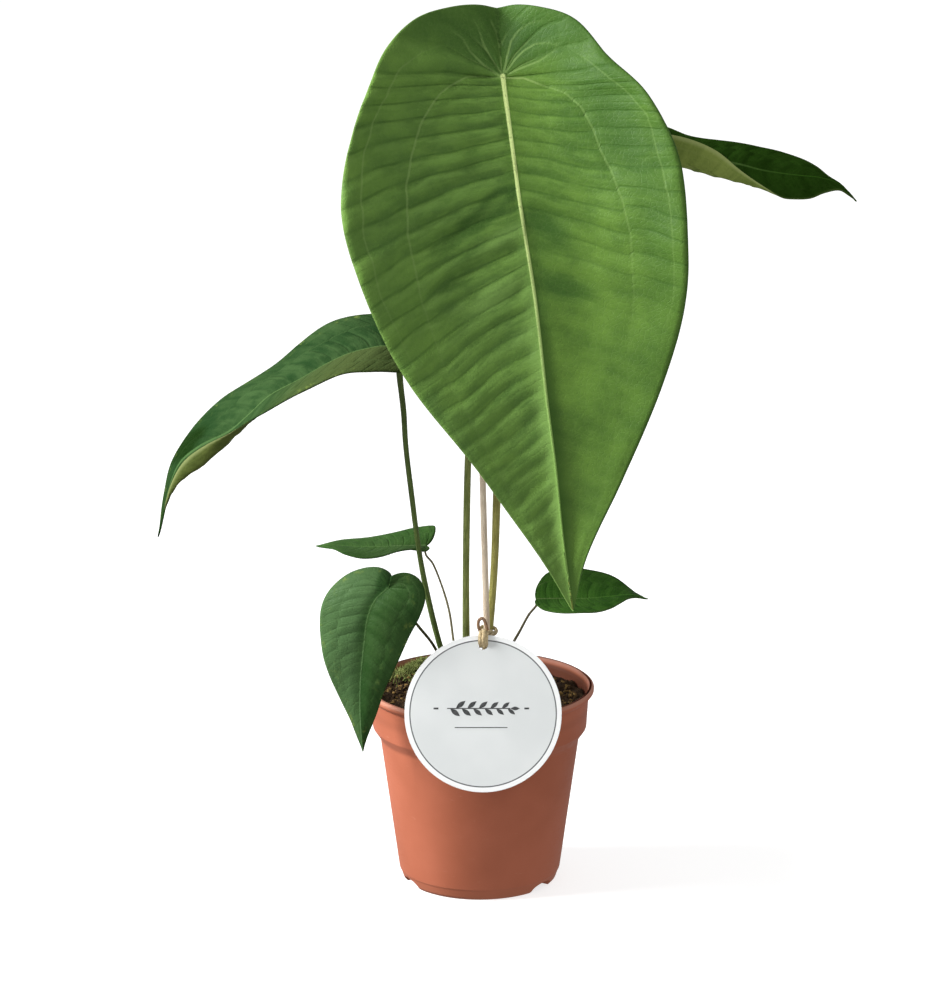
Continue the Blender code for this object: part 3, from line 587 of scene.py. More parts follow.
rightLeaf = {
    "name": "right_leaf", "underShade": 1.45, "slot": "shaded_leaf",
    "midrib": [
        (75.9, 382, 96), (97.3, 377, 97), (117, 373.4, 97), (134.2, 370.3, 96), (143.5, 367.8, 95),
        (153.9, 366.1, 93), (164.2, 364.9, 92), (174.5, 364, 90), (182.9, 361.5, 88.5), (188.6, 357.5, 87),
        (193.6, 352.1, 86),
    ],
    "first": {
        "margin": [
            (75.9, 382, 96), (69.5, 378.4, 104), (69.7, 378.8, 115), (81.2, 384, 122), (93.8, 384.3, 124),
            (106.5, 381.7, 124), (119.3, 376.3, 122), (132.3, 366.5, 116), (143, 359.3, 112),
            (153.8, 353.6, 108), (159.4, 352.7, 104), (169.4, 353, 99), (176.3, 355.8, 95),
            (184.7, 357.5, 91), (189.6, 355.1, 88), (193.6, 352.1, 86),
        ],
        "split": 0.2, "lift": 0.12, "sag": 0.05, "rollAt": (0.12, 0.28, 0.47, 0.64, 0.78),
        "roll": (0.5, 1.0, 0.95, 0.45, 0.0), "rollBy": (0, -11.5, 2),
    },
    "second": {
        "margin": [
            (75.9, 382, 96), (68, 385.6, 89), (68.1, 392.3, 81), (95, 391.3, 76), (108.5, 387.2, 73),
            (124.1, 384.2, 71), (142.2, 381.4, 71), (155, 379.2, 72), (166.8, 374.7, 74),
            (173.8, 370.1, 77), (179.3, 365.3, 80), (185.8, 361.3, 83), (190.3, 356.8, 85),
            (193.6, 352.1, 86),
        ],
        "split": 0.22, "lift": 0.04, "sag": 0.08,
    },
    "fan": 6, "rows": 26, "columns": 24, "rib": 1.6, "ribWidth": (0.7, 0.35), "fanVeins": 3,
    "veins": 13, "cushion": 0.5, "ripple": 0.12, "roll": 0.4, "waves": 3.5, "wave": 0.6,
    "seed": 19.0,
}

heartLeaf = {
    "name": "heart_leaf", "slot": "young_leaf",
    "midrib": [
        (-47.1, 153.6, 92), (-53.4, 147.6, 92.5), (-57.4, 138.5, 91.5), (-59.4, 124.4, 88), (-61, 109, 83),
        (-61.6, 95, 79), (-61.3, 82, 74.8), (-60.4, 68.5, 69),
    ],
    "first": {
        "margin": [
            (-47.1, 153.6, 92), (-45.7, 160.3, 86.5), (-52.5, 164, 86.5), (-66, 162, 86),
            (-75.2, 154.8, 85.5), (-80.8, 145, 85), (-82.5, 134.5, 84), (-81, 120.5, 81.5),
            (-77.3, 108.5, 78.5), (-71.4, 94, 75), (-66, 83.5, 72), (-62.9, 75.5, 70), (-60.4, 68.5, 69),
        ],
        "split": 0.34, "lift": 0.05, "sag": 0.06,
        "patches": ((-49, 157, 8, 4, 70, 0.0, -1.4),),
    },
    "second": {
        "margin": [
            (-47.1, 153.6, 92), (-45.4, 159.6, 96), (-37.5, 161.6, 96), (-30.6, 157.9, 95),
            (-28, 149.2, 94), (-30.8, 139, 93), (-36.5, 127.5, 91), (-43, 114, 87.5), (-48.6, 101.3, 83),
            (-53.2, 88.5, 78), (-57.2, 78.5, 73), (-60.4, 68.5, 69),
        ],
        "split": 0.33, "lift": 0.1, "sag": 0.06,
        "patches": ((-49, 157, 8, 4, 70, 0.0, -1.4),),
    },
    "fan": 8, "rows": 28, "columns": 26, "rib": 1.3, "ribWidth": (0.5, 0.3), "fanVeins": 3,
    "veins": 9, "cushion": 0.35, "ripple": 0.1, "roll": 0.4, "waves": 3.5, "wave": 0.7,
    "seed": 27.0,
}

smallLeftLeaf = {
    "name": "small_left_leaf", "slot": "young_leaf",
    "midrib": [
        (-28.5, 174.4, 18), (-41.9, 174.2, 19), (-57.7, 173.7, 19), (-70.9, 174.2, 18.5), (-78.8, 175, 18),
        (-86.2, 174.4, 17),
    ],
    "first": {
        "margin": [
            (-28.5, 174.4, 18), (-26.5, 176.3, 12), (-24.4, 179.8, 6), (-23.7, 185, 0), (-32.7, 184, -3),
            (-43.8, 181.4, -4), (-57.1, 179.4, -4), (-70.2, 177.8, 3), (-79.5, 176, 13), (-86.2, 174.4, 17),
        ],
        "split": 0.28, "lift": 0.03, "sag": 0.06,
    },
    "second": {
        "margin": [
            (-28.5, 174.4, 18), (-26.4, 173.7, 24), (-28.1, 172.2, 31), (-35.4, 172.6, 37),
            (-43.2, 171.6, 41), (-52, 169.5, 43), (-61.4, 168.7, 42), (-70.5, 170.2, 36),
            (-77.6, 173.2, 25), (-86.2, 174.4, 17),
        ],
        "split": 0.28, "lift": 0.03, "sag": 0.06,
    },
    "fan": 6, "rows": 18, "columns": 20, "rib": 1.1, "ribWidth": (0.5, 0.3), "fanVeins": 3,
    "veins": 8, "cushion": 0.3, "ripple": 0.08, "roll": 0.3, "waves": 2.5, "wave": 0.4,
    "seed": 35.0,
}

smallRightLeaf = {
    "name": "small_right_leaf", "slot": "shaded_leaf",
    "midrib": [
        (29.3, 147.3, 72), (41.4, 147.6, 73), (54.3, 147.6, 74), (67.2, 148.7, 74), (77.6, 149.7, 73),
        (86.9, 147.6, 71),
    ],
    "first": {
        "margin": [
            (29.3, 147.3, 72), (28.2, 146, 77), (30.8, 143.6, 84), (36, 141.8, 89), (43.7, 140.6, 92),
            (52.4, 140.9, 93), (60.1, 141.6, 91), (67.4, 143.6, 87), (72.7, 146, 82), (77.4, 148, 77),
            (82.2, 148.3, 73.5), (86.7, 147.4, 71),
        ],
        "split": 0.22, "lift": 0.04, "sag": 0.06,
    },
    "second": {
        "margin": [
            (29.3, 147.3, 72), (29.6, 149.4, 67), (29.9, 152.6, 62.5), (31.3, 156.7, 58), (36.5, 161, 53),
            (48.5, 163.4, 52), (57.3, 162.6, 52), (65.6, 160.5, 54), (71.2, 157.7, 58), (76.3, 153.9, 62),
            (80.3, 151.1, 66), (83.9, 149.2, 69), (86.7, 147.4, 71),
        ],
        "split": 0.22, "lift": 0.04, "sag": 0.06,
    },
    "fan": 5, "rows": 18, "columns": 20, "rib": 1.1, "ribWidth": (0.5, 0.3), "fanVeins": 3,
    "veins": 8, "cushion": 0.3, "ripple": 0.08, "roll": 0.3, "waves": 2.5, "wave": 0.4,
    "seed": 43.0,
}

rowsPerStep = 5  # finer rows for each row of the solid model

# how the rows and columns are spread over a blade
weave = {
    "pull": 1.05, "lead": 0.3, "fan": 0.9, "columns": 1.45, "merge": 0.02,
    # how the midrib narrows toward the tip, and how far out and down the blade it stays thick
    "ribTaper": 0.7, "ribSpread": 1.05, "ribFade": 0.8,
}

# how the side veins run from the midrib to the margin
course = {
    "rounds": 8,
    "bendReach": 160,
    "fanTurn": 22,
    "fanReach": 32.5,
    "fanMost": 1.3,
    "crowding": 0.85,
    "fade": (0.2, 0.55),
    "waverSize": 22.0,
    "waver": 0.22,
    # the plain veins of the smaller leaves
    "plainCrowding": 0.92,
    "plainSweep": 0.55,
    "plainVeins": 14,
    "plainWaver": 0.16,
    "inner": (0.25, 0.37),
    "outer": (0.6, 0.27),
    "spread": 0.3,
    "stepReach": 0.4,
}

# how the sheet swells between its veins, in millimetres and in shares of the blade
quilt = {
    "sharpness": 2.4,
    "uneven": 0.7,
    "unevenSize": 30.0,
    "fromRib": (0.8, 7.0),
    "fromEdge": (0.5, 5.0),
    "pastInner": 0.55,
    "ripplesPerVein": 2.6,
    "rippleLength": 13,
    "swellLength": 2.7,
    "billow": 0.9,
    "billowSize": 26.0,
    "innerGroove": (0.45, 1.6),
    "outerGroove": (0.35, 1.4),
    "loopGroove": 0.35,
    "lower": (0.25, 0.6),
    "rollReach": 4.5,
    "rollFrom": (0.3, 0.6),
    "wavePhases": (0.7, 2.1),
    "fold": 0.7,
    "foldReach": 1.1,
    "foldFrom": (0.25, 0.8),
    "ends": 0.35,
}


def smoothStep(low, high, value):
    share = np.clip((value - low) / (high - low), 0, 1)
    return share * share * (3 - 2 * share)


def softNoise(points, size, seed):
    # one value in about -1 to 1 for each point, in blotches of the given size
    flat = points.reshape(-1, 3) / size + seed
    values = [noise.noise(Vector(p)) for p in flat]
    return np.array(values).reshape(points.shape[:-1])


def halfRows(start, end, ahead, half, at, shares):
    span = end - start
    reach = np.linalg.norm(span, axis=1, keepdims=True)
    rollPlaces, rolls = half.get("rollAt", ()), half.get("roll", ())
    roll = np.interp(at, [0, *rollPlaces, 1], [0, *rolls, 0])[:, None]
    belly = (start + end) / 2
    belly += reach * half["lift"] * board(0, 0, 1)
    belly -= reach * half["sag"] * ahead
    belly += roll * board(*half.get("rollBy", (0, 0, 0)))
    share = shares[None, :, None]
    first, middle, last = start[:, None], belly[:, None], end[:, None]
    near = first * (1 - share) * (1 - 2 * share)
    return near + middle * 4 * share * (1 - share) + last * share * (2 * share - 1), reach[:, 0]


def onBoard(points):
    # the x and the height on the board of points in the world
    sin, cos = math.sin(boardLean), math.cos(boardLean)
    return np.stack([points[..., 0], points[..., 1] * sin + points[..., 2] * cos], axis=-1)


def pathDistance(points, path):
    # how far each board point lies from a path, with the path's right side negative
    path = np.array(path, float)
    best = np.full(points.shape[:-1], 1e9)
    signed = np.zeros(points.shape[:-1])
    for a, b in zip(path[:-1], path[1:]):
        along = b - a
        share = np.clip(((points - a) @ along) / (along @ along), 0, 1)
        gap = points - (a + share[..., None] * along)
        distance = np.linalg.norm(gap, axis=-1)
        rest = points - a
        side = np.sign(along[0] * rest[..., 1] - along[1] * rest[..., 0])
        nearer = distance < best
        best = np.where(nearer, distance, best)
        signed = np.where(nearer, distance * np.where(side == 0, 1, side), signed)
    return signed


def sideVeins(plan, half, flat, stem, hand):
    # which side vein each board point is on, counted down the midrib, and below 0 round the joint
    heights, across = stem[::-1, 1], stem[::-1, 0]
    shares = np.linspace(1, 0, len(stem))
    origin = flat[..., 1]
    for _ in range(course["rounds"]):
        share = np.interp(origin, heights, shares)
        away = np.maximum(hand * (flat[..., 0] - np.interp(origin, heights, across)), 0)
        knots = np.linspace(0, 1, len(half["slope"]))
        slope, bend = (np.interp(share, knots, half[key]) for key in ("slope", "bend"))
        origin = (origin + flat[..., 1] + slope * away + bend * away**2 / course["bendReach"]) / 2
    rise = origin - heights[-1]
    away = hand * (flat[..., 0] - across[-1])
    angle = np.arctan2(rise, away)
    out = np.minimum(np.hypot(rise, away) / course["fanReach"], course["fanMost"])
    turned = angle + math.radians(course["fanTurn"]) * out**2 * np.sin(angle)
    down = share ** course["crowding"] * plan["veins"]
    return np.where(rise > 0, -turned / math.radians(plan["fanStep"]), down)


def settled(half, along):
    # how strongly the side veins still show in each row, where they fade toward the tip
    return 1 - half.get("settle", 0.0) * smoothStep(*course["fade"], along)[:, None]


def veinFields(plan, half, grid, shares, places, along, reach, hand, stem):
    # numbers in every point of one half of the blade that its relief and its skin are drawn from
    fan, rows = plan["fan"], plan["rows"]
    flat = onBoard(grid)
    waver = softNoise(grid, course["waverSize"], plan["seed"] + hand)
    if "slope" in half:
        phase = sideVeins(plan, half, flat, onBoard(stem), hand) + course["waver"] * waver
    else:
        down = plan["fanVeins"] + along ** course["plainCrowding"] * plan["veins"]
        phase = np.where(places < fan, places / fan * plan["fanVeins"], down)
        sweep = course["plainSweep"] * shares[None] ** 2 * plan["veins"] / course["plainVeins"]
        phase = phase[:, None] - sweep + course["plainWaver"] * waver
    distance = reach[:, None] * shares[None]
    edge = reach[:, None] * (1 - shares[None])
    if "inner" in half:
        inner = hand * pathDistance(flat, half["inner"])
        outer = hand * pathDistance(flat, half["outer"])
    else:
        step = smoothStep(0, course["spread"], places / rows)
        inner, outer = (
            (shares[None] - (near + farther * step)[:, None]) * reach[:, None]
            for near, farther in (course["inner"], course["outer"])
        )
    step = half.get("offset", 0.5) * settled(half, along)
    phase = phase + step * smoothStep(-course["stepReach"], course["stepReach"], inner)
    wide, narrow = plan["ribWidth"]
    ribWidth = wide + (narrow - wide) * along ** weave["ribTaper"]
    rib = distance / ribWidth[:, None]
    loop = np.full_like(phase, 99.0)
    for path in half.get("loops", ()):
        loop = np.minimum(loop, np.abs(pathDistance(flat, path)))
    lift, shade = np.zeros_like(phase), np.zeros_like(phase)
    # each patch's lift raises or sinks the sheet, and its shade becomes painted shade or painted light in
    # the skin
    for x, rise, long, wide, tilt, lifting, shading in half.get("patches", ()):
        turn = math.radians(tilt)
        gap = flat - (x, rise)
        ahead = (gap[..., 0] * math.cos(turn) + gap[..., 1] * math.sin(turn)) / long
        aside = (gap[..., 1] * math.cos(turn) - gap[..., 0] * math.sin(turn)) / wide
        blob = np.exp(-(ahead**2) - aside**2)
        lift += lifting * blob
        shade += shading * blob
    fields = {"phase": phase, "inner": inner, "outer": outer, "edge": edge, "rib": rib}
    return {**fields, "middle": distance, "lift": lift, "shade": shade, "loop": loop}


def relief(plan, half, fields, grid, shares, places, along, hand):
    # how far each point stands off the plain blade, in millimetres
    phase, inner, outer, middle = (fields[key] for key in ("phase", "inner", "outer", "middle"))
    seed = plan["seed"]
    tooth = np.abs(2 * (phase - np.floor(phase)) - 1)
    unevenness = 1 + quilt["uneven"] * softNoise(grid, quilt["unevenSize"], seed + 5)
    begin = smoothStep(*quilt["fromRib"], middle)
    fringe = smoothStep(*quilt["fromEdge"], fields["edge"])
    body = np.where(inner > 0, quilt["pastInner"], 1.0)
    strength = half.get("strength", 1.0) * settled(half, along)
    cushion = 0.5 - tooth ** quilt["sharpness"]
    height = plan["cushion"] * strength * unevenness * body * begin * fringe * cushion
    flow = (phase * quilt["ripplesPerVein"], middle / quilt["rippleLength"], np.full_like(phase, seed))
    lengthwise = np.stack(flow, axis=-1)
    height += plan["ripple"] * begin * fringe * softNoise(lengthwise, 1.0, seed + 9)
    broad = softNoise(lengthwise, quilt["swellLength"], seed + hand)
    height += plan.get("swell", 0.0) * strength * begin * fringe * broad
    height -= quilt["loopGroove"] * np.exp(-(fields["loop"] ** 2)) * begin
    billows = softNoise(grid, quilt["billowSize"], seed + 2)
    height += quilt["billow"] * plan["cushion"] * begin * fringe * billows
    groove = plan["cushion"] * begin * settled(half, along)
    (innerDepth, innerWide), (outerDepth, outerWide) = quilt["innerGroove"], quilt["outerGroove"]
    sunk = innerDepth * np.exp(-((inner / innerWide) ** 2))
    height -= groove * (sunk + outerDepth * np.exp(-((outer / outerWide) ** 2)))
    height += plan.get("shoulder", 0.5) * plan["cushion"] * begin + fields["lift"]
    lower = smoothStep(*quilt["lower"], along)[:, None]
    height -= plan.get("dip", 0.0) * lower * np.sin(math.pi * np.clip(shares, 0, 1) ** 0.7)[None]
    rolled = 1 - smoothStep(0.0, quilt["rollReach"], fields["edge"])
    height -= plan["roll"] * rolled * smoothStep(*quilt["rollFrom"], shares)[None]
    phaseAt = quilt["wavePhases"][0 if hand < 0 else 1]
    wave = np.sin(math.tau * plan["waves"] * places / plan["rows"] + phaseAt)[:, None] * shares[None] ** 3
    height += plan["wave"] * wave
    if plan.get("peltate"):
        fold = np.exp(-((places / quilt["foldReach"]) ** 2))[:, None]
        height -= quilt["fold"] * (fold * smoothStep(*quilt["foldFrom"], shares)[None])
    return height * (np.sin(math.pi * np.clip(places / plan["rows"], 0, 1))[:, None] ** quilt["ends"])


def sideBySide(first, second):
    # the mirrored first half and the second half, with the midrib between them once
    return np.concatenate([first[:, :0:-1], second], axis=1)


def bladeSheet(plan):
    rows, fan, columns = plan["rows"], plan["fan"], plan["columns"]
    places = np.arange(rows * rowsPerStep + 1) / rowsPerStep
    along = np.clip((places - fan) / (rows - fan), 0, 1)
    pull = along ** weave["pull"]
    led = pull + plan.get("lead", weave["lead"]) * pull**2 * (1 - pull)
    midrib = [board(*p) for p in plan["midrib"]]
    spine = smoothCurve(midrib, pull)
    ahead = unit(np.gradient(smoothCurve(midrib, places / rows), axis=0))
    shares = (np.arange(columns + 1) / columns) ** weave["columns"]
    halves, heights, fields = [], [], []
    for half, hand in ((plan["first"], -1), (plan["second"], 1)):
        margin = np.array([board(*p) for p in half["margin"]])
        begin = 0.0 if plan.get("peltate") else sinusReach / spans(margin).sum()
        split = half["split"]
        fanned = begin + (split - begin) * (places / fan) ** weave["fan"]
        at = np.where(places < fan, fanned, split + (1 - split) * led)
        grid, reach = halfRows(spine, smoothCurve(margin, at), ahead, half, at, shares)
        found = veinFields(plan, half, grid, shares, places, along, reach, hand, spine[fan * rowsPerStep :])
        halves.append(grid)
        fields.append(found)
        heights.append(relief(plan, half, found, grid, shares, places, along, hand))
    grid, height = sideBySide(*halves), sideBySide(*heights)
    joined = {key: sideBySide(fields[0][key], fields[1][key]) for key in fields[0]}
    joined["hand"] = np.tile(np.r_[-np.ones(columns), 0, np.ones(columns)], (len(places), 1))
    joined["along"] = np.tile(along[:, None], (1, 2 * columns + 1))
    first = fan * rowsPerStep
    down = np.gradient(grid, axis=0)
    down[first] = grid[first + 1] - grid[first]
    normals = unit(np.cross(down, np.gradient(grid, axis=1)))
    normals[:first, columns] = normals[first, columns]
    normals[-1] = normals[-2]
    height[:, columns] = 0
    grid = grid + normals * height[..., None]
    grid[:first, columns] = grid[first, columns]
    if plan.get("peltate"):
        grid[0] = (grid[0] + grid[0, ::-1]) / 2
    return grid, joined, normals[first, columns]


def addBlade(plan, skins):
    grid, fields, normal = bladeSheet(plan)
    lines, columns = grid.shape[0] - 1, plan["columns"]
    bm = bmesh.new()
    bmesh.ops.create_grid(bm, x_segments=2 * columns, y_segments=lines, size=1.0)
    layers = {key: bm.verts.layers.float.new(key) for key in fields}
    thickness = bm.verts.layers.deform.verify()
    ribShare = np.exp(-((fields["rib"] / weave["ribSpread"]) ** 2))
    ribShare = ribShare * (1 - fields["along"]) ** weave["ribFade"]
    for vert in bm.verts:
        j = round((vert.co.x + 1) * columns)
        i = round((1 - vert.co.y) * lines / 2)
        vert.co = Vector(grid[i, j]) * mm
        vert[thickness][0] = float(ribShare[i, j])
        for key, layer in layers.items():
            vert[layer] = float(fields[key][i, j])
    bmesh.ops.remove_doubles(bm, verts=bm.verts, dist=weave["merge"] * mm)
    mesh = meshOf(bm, plan["name"] + "_blade")
    blade = finishPiece(plan["name"] + "_blade", mesh, skins, [plan["name"]])
    blade.vertex_groups.new(name="midrib")
    shell = blade.modifiers.new("thickness", "SOLIDIFY")
    shell.thickness = plan["rib"] * mm
    shell.offset = 0.0
    shell.vertex_group = "midrib"
    shell.thickness_vertex_group = bladeThickness / plan["rib"]
    shell.material_offset = 1
    return grid[plan["fan"] * rowsPerStep, columns], normal


def leafSkin(name, look):
    # look: the greens, the veins' and the midrib's colours, the colours and strengths of painted light and
    # shade, and how plain each mark is
    nodes = Nodes(name)
    point = nodes.objectPoint()
    names = ("phase", "middle", "along", "hand", "rib", "edge", "inner", "outer", "shade", "loop")
    phase, middle, along, hand, rib, edge, inner, outer, patch, loop = map(nodes.attribute, names)
    blotch = nodes.noise(point, 26.0, detail=4, roughness=0.6)
    lengthwise = nodes.combine(phase * 2.7, middle * 0.07, hand * 5)
    streak = nodes.noise(lengthwise, 1.0, detail=2, roughness=0.5)
    mottle = nodes.noise(point, 5.0, detail=5, roughness=0.65)
    speck = nodes.noise(point, 1.1, detail=3)
    share = phase.math("FRACT")
    toVein = 0.5 - abs(share - 0.5)
    basal = phase.ramp(-0.3, 0.0, 1, 0)
    right = hand.ramp(-0.2, 0.2)
    calm = 1 - right * along.ramp(0.15, 0.5, 0, look["settle"])
    faint = streak.ramp(0.35, 0.6, 0.25, 1) * along.ramp(0.35, 0.75, 1, look["lowerVeins"])
    # painted light on each cushion's edge just past its side vein, and painted shade before the next vein
    crest = share.ramp(0.03, 0.2) * share.ramp(0.75, 0.25, 0, 1) * streak.ramp(0.35, 0.6)
    trough = share.ramp(0.5, 0.98) * streak.ramp(0.65, 0.4, 0, 1)
    # the side veins' lines, which are painted dark below as painted shade in their sunken grooves
    lateral = toVein.ramp(0.02, 0.09, 1, 0) * faint * calm
    shoulder = toVein.ramp(0.05, 0.5)
    outerVein = abs(outer).ramp(0.2, 0.7, 0.7, 0) * phase.ramp(-1.2, 0.3)
    collective = abs(inner).ramp(0.25, 0.8, 1, 0).math("MAXIMUM", outerVein)
    collective = collective * along.ramp(0.12, 0.5, 1, look["lowerVeins"])
    collective = collective * right.ramp(0, 1, 1, look["rightVeins"])
    netLine = nodes.cells(nodes.objectPoint(scale=(1, 1, 1.2)), 2.6).ramp(0.0, 0.12, 1, 0)
    outward = inner.ramp(-4, 6, 1, 0.55)
    streaky = (right * (look["rightStreaks"] - look["streaks"]) + look["streaks"]) * outward * calm
    # painted light over the second half down the blade to sunUntil, and painted shade there on the heart
    # leaf
    sunny = right * along.ramp(look["sunUntil"] - 0.35, look["sunUntil"], look["sunSide"], 0)
    # painted shade over the second half beyond its inner collective vein
    farther = inner.ramp(0, 14) * right * look["farShade"]
    # painted shade where this falls below 0, near black below -1, and painted light above 0; the streak
    # part varies at random
    shade = patch + (streak - 0.5) * 0.6
    splash = collective * right * middle.ramp(28, 8, 0, 0.6) * along.ramp(0.0, 0.15, look["rightVeins"], 0)
    loops = loop.ramp(0.15, 0.9, 1, 0) * middle.ramp(8, 40, look["loops"], 0)
    # beside the midrib, painted light on the first half and painted shade on the second
    flank = middle.ramp(0.8, 11.0, 1, 0) * along.ramp(0.2, 0.6)
    border = edge.ramp(0.15, look["rimWidth"], 1, 0)
    flecks = edge.ramp(9, 1, 0, 1) * mottle.ramp(0.55, 0.7) * look["flecks"]
    colour = nodes.mix(blotch.ramp(0.3, 0.72), look["dark"], look["light"])
    # each layer is laid over the ones before it: how strongly it covers them, and its colour
    layers = [
        (mottle.ramp(0.35, 0.75) * 0.4, "lush"),
        (streak.ramp(0.56, 0.3, 0, 1) * streaky, "dark"),
        (streak.ramp(0.45, 0.72) * streaky, "light"),
        # painted light and painted shade on the cushions between the side veins
        (crest * streaky * look["crests"], "bright"),
        (trough * streaky * look["crests"], "dark"),
        # painted light on the middle of each cushion between the side veins
        (shoulder * look["quilting"], "light"),
        (sunny, "sun"),
        # painted light over the first half, away from the midrib
        (hand.ramp(0.2, -0.2, 0, look["leftLift"]) * middle.ramp(0, 8), "bright"),
        (farther, "dark"),
        (along.ramp(0.55, 1.0, 0, look["tipShare"]), "tip"),
        # painted shade, near black at its deepest, and painted light from the patches
        (shade.ramp(-0.1, -1.0, 0, 0.75), "dark"),
        (shade.ramp(-1.1, -1.9, 0, 0.9), "tip"),
        (shade.ramp(0.1, 1.0, 0, 0.6), "bright"),
        # painted shade over the top lobe round the joint
        (phase.ramp(-0.2, -1.6, 0, look["shadedTop"]), "dark"),
        (netLine * look["net"], "vein"),
        (speck.ramp(0.62, 0.75) * 0.25, "dark"),
        # painted shade in the side veins' grooves
        (lateral * middle.ramp(0, 6) * basal.ramp(0, 1, look["lateral"], 0), "furrow"),
        (lateral * basal * middle.ramp(28, 6, 0, look["basal"]), "vein"),
        (collective * look["collective"], "vein"),
        (splash, "rib"),
        (loops, "vein"),
        (flank * hand.ramp(0.2, -0.2, 0, look["glow"]), "bright"),
        (flank * hand.ramp(-0.2, 0.2, 0, look["gloom"]), "dark"),
        (border * hand.ramp(-0.2, 0.2, look["rim"], look["rightRim"]), "vein"),
        (border * hand.ramp(-0.2, 0.2, 0, look["hem"]), "dark"),
        (flecks, "fleck"),
    ]
    for cover, paint in layers:
        colour = nodes.mix(cover, colour, look[paint])
    ribColour = nodes.mix(along.ramp(0.1, 0.8, 0, look["ribFade"]), look["rib"], look["bright"])
    colour = nodes.mix(rib.ramp(0.75, 1.25, 1, 0), colour, ribColour)
    colour = nodes.mix(along.ramp(0.86, 1.0, 0, look["tipShare"]), colour, look["tip"])
    height = 0.25 * mottle - 0.1 * netLine - look["groove"] * lateral
    height = height - 0.5 * collective * look["groove"] - 0.12 * toVein.ramp(0.4, 0.5) + 0.05 * speck
    rough = mottle.ramp(0.3, 0.7, look["roughness"] - 0.06, look["roughness"] + 0.08)
    return nodes.surface(
        Base_Color=colour,
        Roughness=rough + lateral * 0.1,
        Specular_IOR_Level=look["specular"],
        Normal=nodes.bump(height, 1.0, 0.7),
    )


def leafLook(light, dark, lush, vein, rib, tip, **changes):
    look = {"light": light, "dark": dark, "lush": lush, "vein": vein, "rib": rib, "tip": tip}
    # bright, a lighter copy of the light green, and sun paint light, and the vein groove colour paints
    # shade
    look.update({"sun": light, "furrow": dark, "bright": shaded(light, 1.45), "fleck": (0.17, 0.23, 0.05)})
    plain = {
        "quilting": 0.2, "streaks": 0.4, "rightStreaks": 0.4, "crests": 0.3, "sunUntil": 2.0,
        "flecks": 0.0, "sunSide": 0.0, "tipShare": 0.3, "net": 0.06, "lateral": 0.45,
        "collective": 0.4, "lowerVeins": 0.3, "shadedTop": 0.0, "glow": 0.25, "gloom": 0.25,
        "rim": 0.35, "rightRim": 0.0, "loops": 0.5, "ribFade": 1.0, "basal": 0.12, "leftLift": 0.0,
        "farShade": 0.0, "rightVeins": 1.0, "settle": 0.0, "hem": 0.3, "rimWidth": 1.0,
        "groove": 0.3, "roughness": 0.46, "specular": 0.2,
    }
    return {**look, **plain, **changes}


topLooks = {
    "large_leaf": leafLook(
        (0.110, 0.215, 0.034), (0.034, 0.088, 0.015), (0.075, 0.160, 0.024), (0.230, 0.350, 0.110),
        (0.560, 0.680, 0.260), (0.120, 0.225, 0.045),
        bright=(0.200, 0.350, 0.085), sun=(0.125, 0.225, 0.036), sunSide=0.25, tipShare=0.35,
        shadedTop=0.6, farShade=0.38, leftLift=0.2, glow=0.75, gloom=0.65, lowerVeins=0.12,
        streaks=0.42, rightStreaks=0.22, crests=0.8, settle=0.85, basal=0.35, rightVeins=0.55,
        rim=0.2, hem=0.6, specular=0.07,
    ),
    "left_leaf": leafLook(
        (0.033, 0.068, 0.022), (0.010, 0.032, 0.009), (0.023, 0.054, 0.015), (0.060, 0.108, 0.036),
        (0.070, 0.120, 0.038), (0.005, 0.017, 0.002),
        sun=(0.074, 0.092, 0.028), sunSide=0.55, sunUntil=0.5, tipShare=0.8, flecks=0.45,
        streaks=0.7, collective=0.2, lateral=0.3, basal=0.0, roughness=0.6, specular=0.004,
        glow=0.0, gloom=0.1,
    ),
    "right_leaf": leafLook(
        (0.022, 0.062, 0.007), (0.007, 0.024, 0.002), (0.014, 0.042, 0.004), (0.075, 0.120, 0.030),
        (0.100, 0.160, 0.050), (0.008, 0.024, 0.002),
        collective=0.06, lateral=0.2, roughness=0.6, specular=0.0, rim=0.6, rightRim=0.8,
        rimWidth=1.4, hem=0.0, glow=0.0, gloom=0.1,
    ),
    "heart_leaf": leafLook(
        (0.040, 0.088, 0.024), (0.013, 0.044, 0.009), (0.026, 0.066, 0.015), (0.060, 0.115, 0.034),
        (0.050, 0.100, 0.030), (0.022, 0.056, 0.012),
        bright=(0.085, 0.160, 0.062), leftLift=0.5, basal=0.0, net=0.02, lateral=0.1,
        collective=0.04, groove=0.12, specular=0.05, flecks=0.5, sun=(0.030, 0.072, 0.016),
        sunSide=0.3, glow=0.2, gloom=0.6, rim=0.1,
    ),
    "small_left_leaf": leafLook(
        (0.050, 0.112, 0.026), (0.022, 0.064, 0.013), (0.036, 0.090, 0.019), (0.120, 0.180, 0.070),
        (0.120, 0.190, 0.075), (0.050, 0.110, 0.030),
        collective=0.05, lateral=0.12, specular=0.008, glow=0.1, gloom=0.1,
    ),
    "small_right_leaf": leafLook(
        (0.034, 0.092, 0.013), (0.011, 0.042, 0.005), (0.022, 0.068, 0.008), (0.080, 0.130, 0.042),
        (0.080, 0.125, 0.042), (0.014, 0.042, 0.004),
        collective=0.05, lateral=0.08, specular=0.008, glow=0.0, gloom=0.1,
    ),
}


